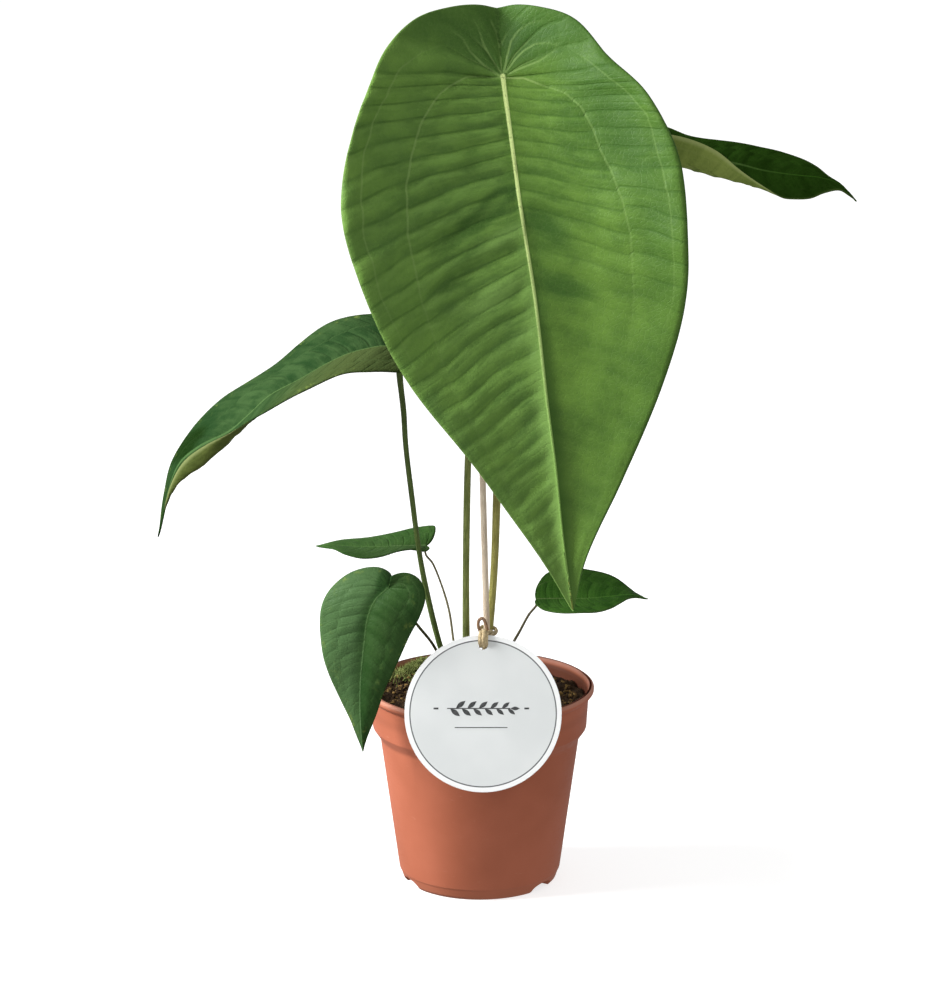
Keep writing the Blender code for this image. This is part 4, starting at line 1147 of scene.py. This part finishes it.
def underLook(shade):
    # the undersides are paler and duller than the tops, and on some leaves painted lighter or darker by a
    # share, as painted light and painted shade
    greens = (
        (0.160, 0.205, 0.048), (0.070, 0.105, 0.020), (0.112, 0.152, 0.032), (0.250, 0.290, 0.110),
        (0.230, 0.270, 0.100), (0.090, 0.105, 0.030),
    )
    return leafLook(
        *[shaded(green, shade) for green in greens],
        lateral=0.12, collective=0.08, net=0.02, rim=0.8, rightRim=0.8, hem=0.0, rimWidth=1.8,
        streaks=0.6, groove=-0.2, roughness=0.6, specular=0.03,
    )


joints = {}  # where each blade's stalk ends, which way it faces there and how thick its midrib is
for plan in (largeLeaf, leftLeaf, rightLeaf, heartLeaf, smallLeftLeaf, smallRightLeaf):
    top = leafSkin(plan["name"] + "_skin", topLooks[plan["name"]])
    under = leafSkin(plan["name"] + "_underside", underLook(plan.get("underShade", 1.0)))
    joints[plan["name"]] = (*addBlade(plan, [top, under]), plan["rib"])
    print("stage:", plan["name"])


# Stalks and cane: tubes that follow the solid model's routes from the soil to the blades

soilTop = 101.0
rootedDepth = 13.0
straightReach = 4  # how far above and below the soil's top each stalk stands straight up
stalkSink = 0.3  # how deep each stalk's end goes into its blade's midrib
roots = {
    "large_petiole": (1.2, 3.6),
    "left_petiole": (-13.8, 3.2),
    "right_petiole": (-6.8, 4.8),
    "heart_petiole": (-13.0, -7.4),
    "small_left_petiole": (-11.0, 10.5),
    "small_right_petiole": (9.6, -1.6),
    "cane": (4.7, -5.0),
}

stalks = {
    "large_petiole": {
        "slot": "olive_stalk",
        "middle": [
            (4.8, 0.4, 134), (7.5, 3, 167), (9, 6, 210), (10.5, 12, 257), (12, 18, 309), (13, 22, 361),
            (13.5, 21, 395),
        ],
        "radii": ((0, 0.1, 0.5, 0.94, 1), (2.3, 2.1, 2.05, 2.0, 2.6)),
        "bend": 9, "light": (0.480, 0.455, 0.145), "dark": (0.270, 0.250, 0.066),
    },
    "left_petiole": {
        "slot": "green_stalk",
        "middle": [
            (-21.3, -1, 129.3), (-30.1, -4, 170.6), (-35.7, -6, 214), (-38.3, -6.4, 238), (-39.2, -6, 254),
        ],
        "radii": ((0, 0.12, 0.9, 1), (1.7, 1.5, 1.42, 1.9)),
        "bend": 6, "light": (0.140, 0.200, 0.054), "dark": (0.052, 0.086, 0.019),
    },
    "right_petiole": {
        "slot": "green_stalk",
        "middle": [
            (-7.1, 4.6, 129.5), (-7.1, 5, 172.6), (-6.0, 6.4, 228.8), (-4.0, 9, 268.5), (0.1, 12, 310),
            (17, 16, 350), (42, 20, 377),
        ],
        "radii": ((0, 0.1, 0.5, 0.9, 1), (2.1, 1.9, 1.8, 1.7, 1.9)),
        "bend": 8, "light": (0.340, 0.390, 0.125), "dark": (0.150, 0.190, 0.052),
    },
    "heart_petiole": {
        "slot": "green_stalk",
        "middle": [(-23.3, -14, 130.1), (-31.9, -30, 147)],
        "radii": ((0, 1), (0.85, 0.75)),
        "bend": 6, "light": (0.105, 0.105, 0.048), "dark": (0.045, 0.050, 0.020),
    },
    "small_left_petiole": {
        "slot": "green_stalk",
        "middle": [(-13.8, 9.8, 127), (-16.6, 13.6, 144.5), (-24.2, 20.5, 165)],
        "radii": ((0, 1), (0.65, 0.55)),
        "bend": 4, "light": (0.360, 0.320, 0.190), "dark": (0.170, 0.145, 0.075),
    },
    "small_right_petiole": {
        "slot": "green_stalk",
        "middle": [(15.9, -9, 128), (20.8, -16.5, 140), (25.6, -24, 151.5)],
        "radii": ((0, 1), (0.75, 0.65)),
        "bend": 2.5, "light": (0.190, 0.170, 0.095), "dark": (0.085, 0.075, 0.042),
    },
}

tubeSides = 20
tubeStep = 1.6


def tube(bm, points, radii, layers):
    # a closed round tube along the points, with its length and its turn kept in two layers
    ahead = unit(np.gradient(points, axis=0))
    side = unit(np.cross(ahead[0], (0.31, 0.95, 0.05)))  # a slant that no tube starts along
    sidesOf = []
    for direction in ahead:
        side = unit(side - direction * (side @ direction))
        sidesOf.append(side)
    sidesOf = np.array(sidesOf)
    others = np.cross(ahead, sidesOf)
    lengths = np.r_[0, np.cumsum(spans(points))]
    made = bmesh.ops.create_grid(bm, x_segments=tubeSides, y_segments=len(points) - 1, size=1.0)
    for vert in made["verts"]:
        k = round((vert.co.y + 1) * (len(points) - 1) / 2)
        turn = math.pi * vert.co.x
        vert[layers[0]] = float(lengths[k])
        vert[layers[1]] = abs(vert.co.x)
        spot = points[k] + radii[k] * (math.cos(turn) * sidesOf[k] + math.sin(turn) * others[k])
        vert.co = Vector(spot) * mm
    bmesh.ops.remove_doubles(bm, verts=made["verts"], dist=0.01 * mm)
    rims = [edge for edge in bm.edges if edge.is_boundary]
    bmesh.ops.holes_fill(bm, edges=rims, sides=0)
    bmesh.ops.recalc_face_normals(bm, faces=bm.faces)


def stalkSkin(name, light, dark, grain=0.7, spots=0.35, roughness=0.42):
    nodes = Nodes(name)
    length, turn = map(nodes.attribute, ("lengthwise", "turn"))
    streak = nodes.noise(nodes.combine(turn * 14, length * 0.09, 0.0), 1.0, detail=4)
    patch = nodes.noise(nodes.objectPoint(), 12.0, detail=3)
    speck = nodes.noise(nodes.objectPoint(scale=(1, 1, 0.6)), 0.7, detail=2)
    colour = nodes.mix(streak.ramp(0.3, 0.7), dark, light)
    colour = nodes.mix(patch.ramp(0.4, 0.7, 0, 0.45), colour, shaded(dark, 0.75))
    colour = nodes.mix(speck.ramp(0.62, 0.72, 0, spots), colour, shaded(light, 1.25))
    return nodes.surface(
        Base_Color=colour,
        Roughness=patch.ramp(0.2, 0.8, roughness - 0.06, roughness + 0.1),
        Specular_IOR_Level=0.15,
        Normal=nodes.bump(streak * grain + speck * 0.2, 0.3),
    )


def stalkPiece(name, points, radii, skin):
    bm = bmesh.new()
    layers = [bm.verts.layers.float.new(key) for key in ("lengthwise", "turn")]
    tube(bm, points, radii, layers)
    finishPiece(name + "_fine", meshOf(bm, name + "_fine"), [skin], [name])


def addStalks():
    for name, plan in stalks.items():
        x, y = roots[name]
        point, normal, rib = joints[name.replace("petiole", "leaf")]
        end = point - normal * (rib / 2 - stalkSink)
        path = [(x, y, soilTop + rise) for rise in (-rootedDepth, -straightReach, straightReach)]
        path += [*plan["middle"], end - normal * plan["bend"], end]
        shares = np.linspace(0, 1, int(spans(path).sum() / tubeStep) + 1)
        radii = np.interp(shares, *plan["radii"])
        knots = 0.05 * np.sin(9.0 * shares + plan["bend"]) + 0.03 * np.sin(23.0 * shares)
        skin = stalkSkin(name + "_skin", plan["light"], plan["dark"])
        stalkPiece(name, smoothCurve(path, shares), radii * (1 + knots), skin)


cane = {
    "lean": -0.027, "foot": 58.0, "top": 300.0, "radius": 1.65, "taper": 0.05,
    "nodeGap": 74.0, "nodeStart": 20, "nodeSwell": 0.05, "nodeWidth": 0.012,
    "samples": 160,
    "light": (0.950, 0.830, 0.670), "dark": (0.780, 0.620, 0.450),
    "grain": 1.2, "spots": 0.1, "roughness": 0.55,
}


def addCane():
    x, y = roots["cane"]
    heights = np.linspace(cane["foot"], cane["top"], cane["samples"])
    points = np.column_stack([x + cane["lean"] * (heights - soilTop), np.full(len(heights), y), heights])
    between = ((heights - cane["nodeStart"]) % cane["nodeGap"]) / cane["nodeGap"]
    swell = np.exp(-(((between - 0.5) / cane["nodeWidth"]) ** 2))
    radii = cane["radius"] * (1 + cane["nodeSwell"] * swell)
    radii = radii - cane["taper"] * (heights - cane["foot"]) / (cane["top"] - cane["foot"])
    finish = [cane[key] for key in ("light", "dark", "grain", "spots", "roughness")]
    stalkPiece("cane", points, radii, stalkSkin("cane_skin", *finish))


addStalks()
addCane()
print("stage: stalks and cane")


# Pot: a turned shell with soft corners and three arched notches in its foot

pot = {
    "height": 106.0,
    "lip": 60.0,
    "collarTop": 57.2,
    "collarFoot": 56.1,
    "collarDepth": 22.0,
    "step": 6.0,
    "bodyTop": 52.1,
    "bodyFoot": 41.8,
    "foot": 40.4,
    "wall": 1.3,
    "floor": 1.6,
    "sides": 192,
    "notchTurns": (-65.0, 55.0, 175.0),
    "notchWidth": 17.0,
    "notchHeight": 4.6,
    "notchSpring": 1.2,
    "notchReach": 7.5,
    "notchDepth": 14,
    "soften": 0.35,
    "sharpOver": 38,
    "plastic": ((0.352, 0.107, 0.058), (0.412, 0.129, 0.073)),
    "scuffs": (0.560, 0.280, 0.190),
    "wornLip": (0.520, 0.290, 0.220),
    "dustyFoot": (0.230, 0.120, 0.070),
    "inside": (0.100, 0.036, 0.022),
    # heights in millimetres between which the painted lip highlight, the dust and the inside's painted
    # shade set in
    "wearFrom": (103.5, 105.6),
    "dustUpTo": (1.0, 9.0),
    "insideFrom": (90.0, 97.0),
    "insideWithin": (57.0, 56.2),
}


def potProfile():
    collarFoot = pot["height"] - pot["collarDepth"]
    bodyTop = collarFoot - pot["step"]
    # outside, from the lip over the collar, the step and the body down to the foot
    outer = [
        (pot["lip"] - 1.2, pot["height"]),
        (pot["lip"], pot["height"] - 0.9),
        (pot["lip"], pot["height"] - 2.6),
        (pot["lip"] - 1.0, pot["height"] - 3.8),
        (pot["collarTop"], pot["height"] - 5.0),
        (pot["collarFoot"], collarFoot),
        (pot["collarFoot"] - 0.8, collarFoot - 1.2),
        (pot["bodyTop"] + 0.5, bodyTop + 0.9),
        (pot["bodyTop"], bodyTop - 0.6),
        (pot["bodyFoot"] + 0.5, 6.4),
        (pot["bodyFoot"] - 0.1, 5.6),
        (pot["foot"], 1.6),
        (pot["foot"] - 1.6, 0.0),
        (0.0, 0.0),
    ]
    # inside, from the floor up to the lip
    inner = [
        (0.0, pot["floor"]),
        (pot["foot"] - 3.4, pot["floor"]),
        (pot["bodyFoot"] - pot["wall"] - 0.6, 6.2),
        (pot["bodyTop"] - pot["wall"], bodyTop),
        (pot["collarFoot"] - pot["wall"] - 0.3, collarFoot + 1.4),
        (pot["collarTop"] - pot["wall"], pot["height"] - 4.0),
        (pot["lip"] - 2.4, pot["height"]),
    ]
    return [*outer, *inner]


def turned(profile, sides, soften=0.0):
    # a solid or shell turned about the Z axis from its outline in millimetres
    bm = bmesh.new()
    points = [bm.verts.new((r * mm, 0, z * mm)) for r, z in profile]
    for pair in zip(points, points[1:]):
        bm.edges.new(pair)
    if soften:
        corners = [v for v in points if v.co.x > 0.5 * mm and len(v.link_edges) == 2]
        shape = {"offset": soften * mm, "offset_type": "OFFSET", "segments": 3, "profile": 0.5}
        bmesh.ops.bevel(bm, geom=corners, affect="VERTICES", material=-1, **shape)
    outline = list(bm.verts) + list(bm.edges)
    bmesh.ops.spin(bm, geom=outline, axis=(0, 0, 1), angle=math.tau, steps=sides, use_merge=True)
    bmesh.ops.remove_doubles(bm, verts=bm.verts, dist=0.004 * mm)
    bmesh.ops.recalc_face_normals(bm, faces=bm.faces)
    return bm


def cutFrom(mesh, cutters, name):
    # the mesh less the cutters, as a new mesh
    block = newObject(name, mesh)
    tools = []
    for k, cutterMesh in enumerate(cutters):
        tool = newObject(f"{name}_cut_{k}", cutterMesh)
        cut = block.modifiers.new(f"cut_{k}", "BOOLEAN")
        cut.operation = "DIFFERENCE"
        cut.solver = "EXACT"
        cut.object = tool
        tools.append(tool)
    shaped = block.evaluated_get(bpy.context.evaluated_depsgraph_get())
    result = bpy.data.meshes.new_from_object(shaped)
    result.name = name
    for old in [block, *tools]:
        bpy.data.objects.remove(old, do_unlink=True)
    return result


def pushedOut(bm, offset):
    # thickens a flat face by the offset
    pushed = bmesh.ops.extrude_face_region(bm, geom=list(bm.faces))
    moved = [item for item in pushed["geom"] if isinstance(item, bmesh.types.BMVert)]
    bmesh.ops.translate(bm, vec=offset, verts=moved)


def notchBlock(angle):
    # a block with an arched top that cuts one notch through the foot's wall
    bm = bmesh.new()
    half = pot["notchWidth"] / 2
    made = bmesh.ops.create_circle(bm, cap_ends=True, segments=48, radius=1.0)
    rise = pot["notchHeight"] - pot["notchSpring"]
    for vert in made["verts"]:
        x, z = vert.co.x * half, vert.co.y
        z = pot["notchSpring"] + rise * z if z > 0.01 else -2.0
        vert.co = ((pot["foot"] - pot["notchReach"]) * mm, x * mm, z * mm)
    pushedOut(bm, (pot["notchDepth"] * mm, 0, 0))
    bmesh.ops.remove_doubles(bm, verts=bm.verts, dist=0.01 * mm)
    bmesh.ops.recalc_face_normals(bm, faces=bm.faces)
    turn = Matrix.Rotation(math.radians(angle - 90), 3, "Z")
    bmesh.ops.rotate(bm, cent=(0, 0, 0), matrix=turn, verts=bm.verts)
    return meshOf(bm, "notch", smooth=False)


def potSkin():
    nodes = Nodes("pot_plastic")
    point = nodes.objectPoint()
    cloud = nodes.noise(point, 45.0, detail=3)
    grain = nodes.noise(point, 0.9, detail=3)
    flow = nodes.noise(nodes.objectPoint(scale=(0.06, 0.06, 1)), 1.1, detail=3)
    scuffPoint = nodes.objectPoint(scale=(1, 1, 4), turn=(0.3, 0.2, 0))
    scuff = nodes.noise(scuffPoint, 7.0, detail=6, roughness=0.7)
    x, y, height = (nodes.make("ShaderNodeSeparateXYZ", None, {0: point}, out=k) for k in range(3))
    dull, bright = pot["plastic"]
    colour = nodes.mix(cloud.ramp(0.3, 0.7), dull, bright)
    colour = nodes.mix(scuff.ramp(0.62, 0.72, 0, 0.22), colour, pot["scuffs"])
    # painted highlight along the top of the lip
    colour = nodes.mix(height.ramp(*pot["wearFrom"], 0, 0.5), colour, pot["wornLip"])
    colour = nodes.mix(height.ramp(*pot["dustUpTo"], 0.3, 0) * scuff, colour, pot["dustyFoot"])
    # painted shade on the inside wall above the soil
    inside = ((x * x + y * y) ** 0.5).ramp(*pot["insideWithin"]) * height.ramp(*pot["insideFrom"])
    colour = nodes.mix(inside * 0.85, colour, pot["inside"])
    return nodes.surface(
        Base_Color=colour,
        Roughness=0.45 + (0.1 * cloud + scuff.ramp(0.5, 0.75, 0, 0.18)),
        Specular_IOR_Level=0.07,
        Normal=nodes.bump(0.35 * grain + 0.5 * flow, 0.12, 0.6),
    )


def addPot():
    shell = meshOf(turned(potProfile(), pot["sides"], pot["soften"]), "pot_shell")
    mesh = cutFrom(shell, [notchBlock(turn) for turn in pot["notchTurns"]], "pot_fine")
    mesh.set_sharp_from_angle(angle=math.radians(pot["sharpOver"]))
    finishPiece("pot_fine", mesh, [potSkin()], ["pot"])


addPot()
print("stage: pot")


# Soil: a lumpy top strewn with bark chips and crumbs, with moss at the back on the left

soil = {
    "lump": 1.5,
    "sunk": 1.5,
    "mound": 1.8,
    "bank": 5.4,
    "bankAt": (-36.0, 40.0),
    "bankReach": 20.0,
    "rings": 84,
    "sides": 240,
    "strewReach": 50.5,
    "stalkGap": 4.0,
    "lean": 0.5,
    "narrow": (0.45, 0.8),
    "rugged": 0.45,
    "raised": 0.2,
    # bark chips and crumbs of peat: how many, their sizes and flatness, and their light and dark
    "chips": (620, (0.7, 2.3), (0.25, 0.5)),
    "chipTones": ((0.240, 0.150, 0.050), (0.050, 0.030, 0.012)),
    "crumbs": (900, (0.5, 1.5), (0.5, 0.8)),
    "crumbTones": ((0.050, 0.029, 0.014), (0.014, 0.008, 0.005)),
    "peatTones": ((0.052, 0.030, 0.014), (0.012, 0.007, 0.004)),
    "fleck": (0.180, 0.105, 0.045),
}

moss = {
    "tufts": 1500,
    "at": (-35.0, 36.0),
    "spread": (10.0, 8.0),
    "limit": 53.0,
    "tall": (1.2, 2.6),
    "foot": (0.25, 0.45),
    "tip": 0.06,
    "sides": 5,
    "lean": 0.7,
    "raised": 0.35,
    # tufts grow taller toward the wall: from where, over how far and by how much
    "wallFrom": 42,
    "wallReach": 11,
    "wallRise": 2.4,
    "tones": ((0.240, 0.280, 0.088), (0.070, 0.090, 0.022)),
}


def soilHeight(x, y):
    lumps = math.sin(0.23 * x + 1.1) * math.cos(0.19 * y - 0.6)
    lumps += 0.6 * math.sin(0.41 * x - 0.35 * y + 2.0)
    mound = soil["mound"] * math.exp(-((x + 3) ** 2 + y**2) / 500)
    away = math.hypot(x - soil["bankAt"][0], y - soil["bankAt"][1]) / soil["bankReach"]
    bank = soil["bank"] * math.exp(-(away**2))
    return soilTop - soil["sunk"] + soil["lump"] * 0.7 * lumps + mound + bank


def soilRelief(x, y):
    # the solid model's height with fine crumbs added
    fine = 0.55 * noise.noise(Vector((x / 3.4, y / 3.4, 4.0)))
    fine += 0.32 * noise.noise(Vector((x / 1.3, y / 1.3, 9.0)))
    return soilHeight(x, y) + fine


def soilSkin():
    nodes = Nodes("peat_soil")
    point = nodes.objectPoint()
    clump = nodes.noise(point, 4.0, detail=5, roughness=0.65)
    crumb = nodes.noise(point, 0.8, detail=5, roughness=0.7)
    fleck = nodes.cells(point, 1.5, "F1")
    light, dark = soil["peatTones"]
    colour = nodes.mix(clump.ramp(0.3, 0.7), dark, light)
    colour = nodes.mix(fleck.ramp(0.16, 0.28, 0.35, 0), colour, soil["fleck"])
    return nodes.surface(
        Base_Color=colour,
        Roughness=crumb.ramp(0.3, 0.8, 0.75, 0.98),
        Specular_IOR_Level=0.08,
        Normal=nodes.bump(crumb + clump * 0.6, 0.8),
    )


def addSoil():
    foot = pot["floor"] + clearance
    edgeRadius = pot["collarTop"] - pot["wall"] - 1.2
    profile = [
        (0.0, foot),
        (pot["foot"] - 4.6, foot),
        (pot["bodyFoot"] - pot["wall"] - 1.5, 6.2),
        (pot["bodyTop"] - pot["wall"] - 0.7, pot["height"] - pot["collarDepth"] - pot["step"]),
        (pot["bodyTop"] + 1.2, pot["height"] - pot["collarDepth"] + 1.6),
        (edgeRadius, soilTop),
    ]
    rings = soil["rings"]
    profile += [(edgeRadius * (1 - k / rings), soilTop) for k in range(1, rings + 1)]
    bm = turned(profile, soil["sides"])
    for vert in bm.verts:
        if vert.co.z > (soilTop - 1.0) * mm:
            vert.co.z = soilRelief(vert.co.x / mm, vert.co.y / mm) * mm
    bmesh.ops.recalc_face_normals(bm, faces=bm.faces)
    finishPiece("soil_fine", meshOf(bm, "soil_fine"), [soilSkin()], ["soil"])


def chipSkin(name, light, dark):
    nodes = Nodes(name)
    point = nodes.objectPoint()
    patch = nodes.noise(point, 3.0, detail=2)
    grain = nodes.noise(nodes.objectPoint(scale=(1, 1, 3)), 0.6, detail=4)
    colour = nodes.mix(patch.ramp(0.35, 0.65), dark, light)
    colour = nodes.mix(grain.ramp(0.5, 0.75, 0, 0.5), colour, shaded(dark, 0.5))
    return nodes.surface(
        Base_Color=colour,
        Roughness=grain.ramp(0.2, 0.8, 0.65, 0.92),
        Specular_IOR_Level=0.08,
        Normal=nodes.bump(grain, 0.4),
    )


def leaning(rng, most):
    # a small turn at random about each level axis
    sideways, forward = [Matrix.Rotation(rng.uniform(-most, most), 4, axis) for axis in "XY"]
    return sideways @ forward


def scatter(name, count, sizes, flatness, skin, seed):
    # small broken lumps lying on the soil, clear of the stalks
    rng = random.Random(seed)
    bm = bmesh.new()
    placed = 0
    while placed < count:
        reach = math.sqrt(rng.uniform(0, soil["strewReach"] ** 2))
        turn = rng.uniform(0, math.tau)
        x, y = reach * math.cos(turn), reach * math.sin(turn)
        if any(math.hypot(x - rx, y - ry) < soil["stalkGap"] for rx, ry in roots.values()):
            continue
        size = rng.uniform(*sizes)
        made = bmesh.ops.create_icosphere(bm, subdivisions=1, radius=1.0)["verts"]
        squash = (size, size * rng.uniform(*soil["narrow"]), size * rng.uniform(*flatness))
        shake = rng.uniform(0, 40)
        for vert in made:
            push = 1 + soil["rugged"] * noise.noise(vert.co * 1.3 + Vector((shake, shake, 0)))
            vert.co = Vector([part * share for part, share in zip(vert.co, squash)]) * push
        lean = leaning(rng, soil["lean"])
        spin = Matrix.Rotation(rng.uniform(0, math.tau), 4, "Z")
        lift = soilRelief(x, y) + soil["raised"] * squash[2]
        place = Matrix.Scale(mm, 4) @ Matrix.Translation((x, y, lift)) @ spin @ lean
        bmesh.ops.transform(bm, matrix=place, verts=made)
        placed += 1
    finishPiece(name, meshOf(bm, name), [skin])


def mossSkin():
    nodes = Nodes("moss_green")
    patch = nodes.noise(nodes.objectPoint(), 4.0, detail=3)
    light, dark = moss["tones"]
    colour = nodes.mix(patch.ramp(0.3, 0.7), dark, light)
    rough = patch.ramp(0.2, 0.8, 0.6, 0.85)
    return nodes.surface(Base_Color=colour, Roughness=rough, Specular_IOR_Level=0.08)


def addMoss(seed):
    rng = random.Random(seed)
    bm = bmesh.new()
    for _ in range(moss["tufts"]):
        x, y = [rng.gauss(place, spread) for place, spread in zip(moss["at"], moss["spread"])]
        if math.hypot(x, y) > moss["limit"]:
            continue
        near = max(0.0, math.hypot(x, y) - moss["wallFrom"])
        tall = rng.uniform(*moss["tall"]) + moss["wallRise"] * near / moss["wallReach"]
        cone = {"segments": moss["sides"], "radius1": rng.uniform(*moss["foot"]), "radius2": moss["tip"]}
        made = bmesh.ops.create_cone(bm, cap_ends=True, depth=tall, **cone)["verts"]
        spot = Matrix.Translation((x, y, soilRelief(x, y) + tall * moss["raised"]))
        place = Matrix.Scale(mm, 4) @ spot @ leaning(rng, moss["lean"])
        bmesh.ops.transform(bm, matrix=place, verts=made)
    finishPiece("moss", meshOf(bm, "moss"), [mossSkin()])


addSoil()
scatter("bark_chips", *soil["chips"], chipSkin("bark_chip", *soil["chipTones"]), seed=31)
scatter("peat_crumbs", *soil["crumbs"], chipSkin("peat_crumb", *soil["crumbTones"]), seed=47)
addMoss(seed=71)
print("stage: soil, chips and moss")


# Card: round, with a ring near its rim and a small leaf sprig between two dashes as its print

sprig = {
    "row": 2.7,
    "dashes": (-24.2, 22.4),
    "dashSize": (2.5, 0.9),
    "stem": (-18.5, 14.0),
    "stemWidth": 0.5,
    "leaves": 11,
    "leafSize": (6.6, 2.5),
    "leafTurn": 38.0,
    "leafInset": 1.5,
    "leafShrink": 0.25,
    "endLeaf": 0.75,
    "line": (-14.6, 12.5),
    "lineRow": -7.1,
    "lineWidth": 0.45,
    "depth": 0.05,
    "ink": ((0.028, 0.030, 0.031), (0.060, 0.062, 0.063)),
}


def onCard(bm, rise=0.0):
    # stands a piece made about the Z axis on the card's place
    cx, cy, cz = card["centre"]
    for vert in bm.verts:
        x, y, z = vert.co / mm
        vert.co = Vector(board(cx + x, cy + rise + y, cz + z)) * mm


def cardSkin():
    nodes = Nodes("coated_card")
    point = nodes.objectPoint()
    centre = tuple(board(*card["centre"]))
    away = nodes.make("ShaderNodeVectorMath", {"operation": "DISTANCE"}, {0: point, 1: centre}, out=1)
    ring = abs(away - card["ringRadius"]).ramp(card["ringWidth"] * 0.4, card["ringWidth"] * 0.75, 1, 0)
    fibre = nodes.noise(point, 0.6, detail=4)
    cloud = nodes.noise(point, 30.0, detail=2)
    dull, bright = card["face"]
    colour = nodes.mix(cloud.ramp(0.3, 0.7), dull, bright)
    border = away.ramp(card["ringRadius"] - 0.3, card["ringRadius"] + 0.3)
    colour = nodes.mix(border, colour, card["border"])
    colour = nodes.mix(ring, colour, card["ring"])
    colour = nodes.mix(fibre.ramp(0.55, 0.75, 0, 0.06), colour, card["fibres"])
    return nodes.surface(
        Base_Color=colour,
        Roughness=fibre.ramp(0.2, 0.8, 0.42, 0.55),
        Normal=nodes.bump(fibre, 0.04),
    )


def plate(radius, depth, sides):
    bm = bmesh.new()
    radii = {"radius1": radius * mm, "radius2": radius * mm}
    bmesh.ops.create_cone(bm, cap_ends=True, segments=sides, depth=depth * mm, **radii)
    return bm


def addCard():
    body = plate(card["radius"], card["thickness"], card["sides"])
    rims = [edge for edge in body.edges if len(edge.link_faces) == 2 and edge.calc_face_angle(0) > 1.2]
    bmesh.ops.bevel(body, geom=rims, offset=card["soften"] * mm, segments=2, affect="EDGES", material=-1)
    onCard(body)
    hole = plate(card["holeRadius"], card["thickness"] * 8, card["holeSides"])
    onCard(hole, card["holeRise"])
    mesh = cutFrom(meshOf(body, "card_plate"), [meshOf(hole, "card_hole")], "card_fine")
    mesh.set_sharp_from_angle(angle=math.radians(card["sharpOver"]))
    finishPiece("card_fine", mesh, [cardSkin()], ["card"])


def stamp(bm, x, y, wide, tall):
    # a flat bar of print, centred on the given place
    made = bmesh.ops.create_grid(bm, x_segments=1, y_segments=1, size=0.5)["verts"]
    place = Matrix.Translation((x, y, 0)) @ Matrix.Diagonal((wide, tall, 1, 1))
    bmesh.ops.transform(bm, matrix=place, verts=made)


def leafPrint(bm, x, y, turn, size):
    # a flat pointed leaf of print that starts at the given place
    long, wide = sprig["leafSize"]
    made = bmesh.ops.create_circle(bm, cap_ends=True, segments=28, radius=1.0)["verts"]
    for vert in made:
        share = (vert.co.x + 1) / 2
        half = wide / 2 * math.sin(math.pi * share) ** 1.2
        vert.co = Vector((long * share, math.copysign(half, vert.co.y), 0)) * size
    place = Matrix.Translation((x, y, 0)) @ Matrix.Rotation(math.radians(turn), 4, "Z")
    bmesh.ops.transform(bm, matrix=place, verts=made)


def addPrint():
    bm = bmesh.new()
    for x in sprig["dashes"]:
        stamp(bm, x, sprig["row"], *sprig["dashSize"])
    start, end = sprig["stem"]
    stamp(bm, (start + end) / 2, sprig["row"], end - start, sprig["stemWidth"])
    places = np.linspace(start + sprig["leafInset"], end - sprig["leafInset"], sprig["leaves"])
    for k, x in enumerate(places):
        turn = sprig["leafTurn"] if k % 2 else -sprig["leafTurn"]
        leafPrint(bm, x, sprig["row"], turn, 1.0 - sprig["leafShrink"] * k / sprig["leaves"])
    leafPrint(bm, end, sprig["row"], 0.0, sprig["endLeaf"])
    bmesh.ops.remove_doubles(bm, verts=bm.verts, dist=0.01)
    left, right = sprig["line"]
    stamp(bm, (left + right) / 2, sprig["lineRow"], right - left, sprig["lineWidth"])
    pushedOut(bm, (0, 0, sprig["depth"]))
    bmesh.ops.translate(bm, vec=(0, 0, card["thickness"] / 2), verts=bm.verts)
    bmesh.ops.scale(bm, vec=(mm, mm, mm), verts=bm.verts)
    bmesh.ops.recalc_face_normals(bm, faces=bm.faces)
    onCard(bm)
    nodes = Nodes("card_ink")
    worn = nodes.noise(nodes.objectPoint(), 1.2, detail=3)
    black, grey = sprig["ink"]
    ink = nodes.mix(worn.ramp(0.35, 0.7), black, grey)
    nodes.surface(Base_Color=ink, Roughness=worn.ramp(0.2, 0.8, 0.45, 0.6))
    finishPiece("card_print", meshOf(bm, "card_print", smooth=False), [nodes.material])


addCard()
addPrint()
print("stage: card and its print")
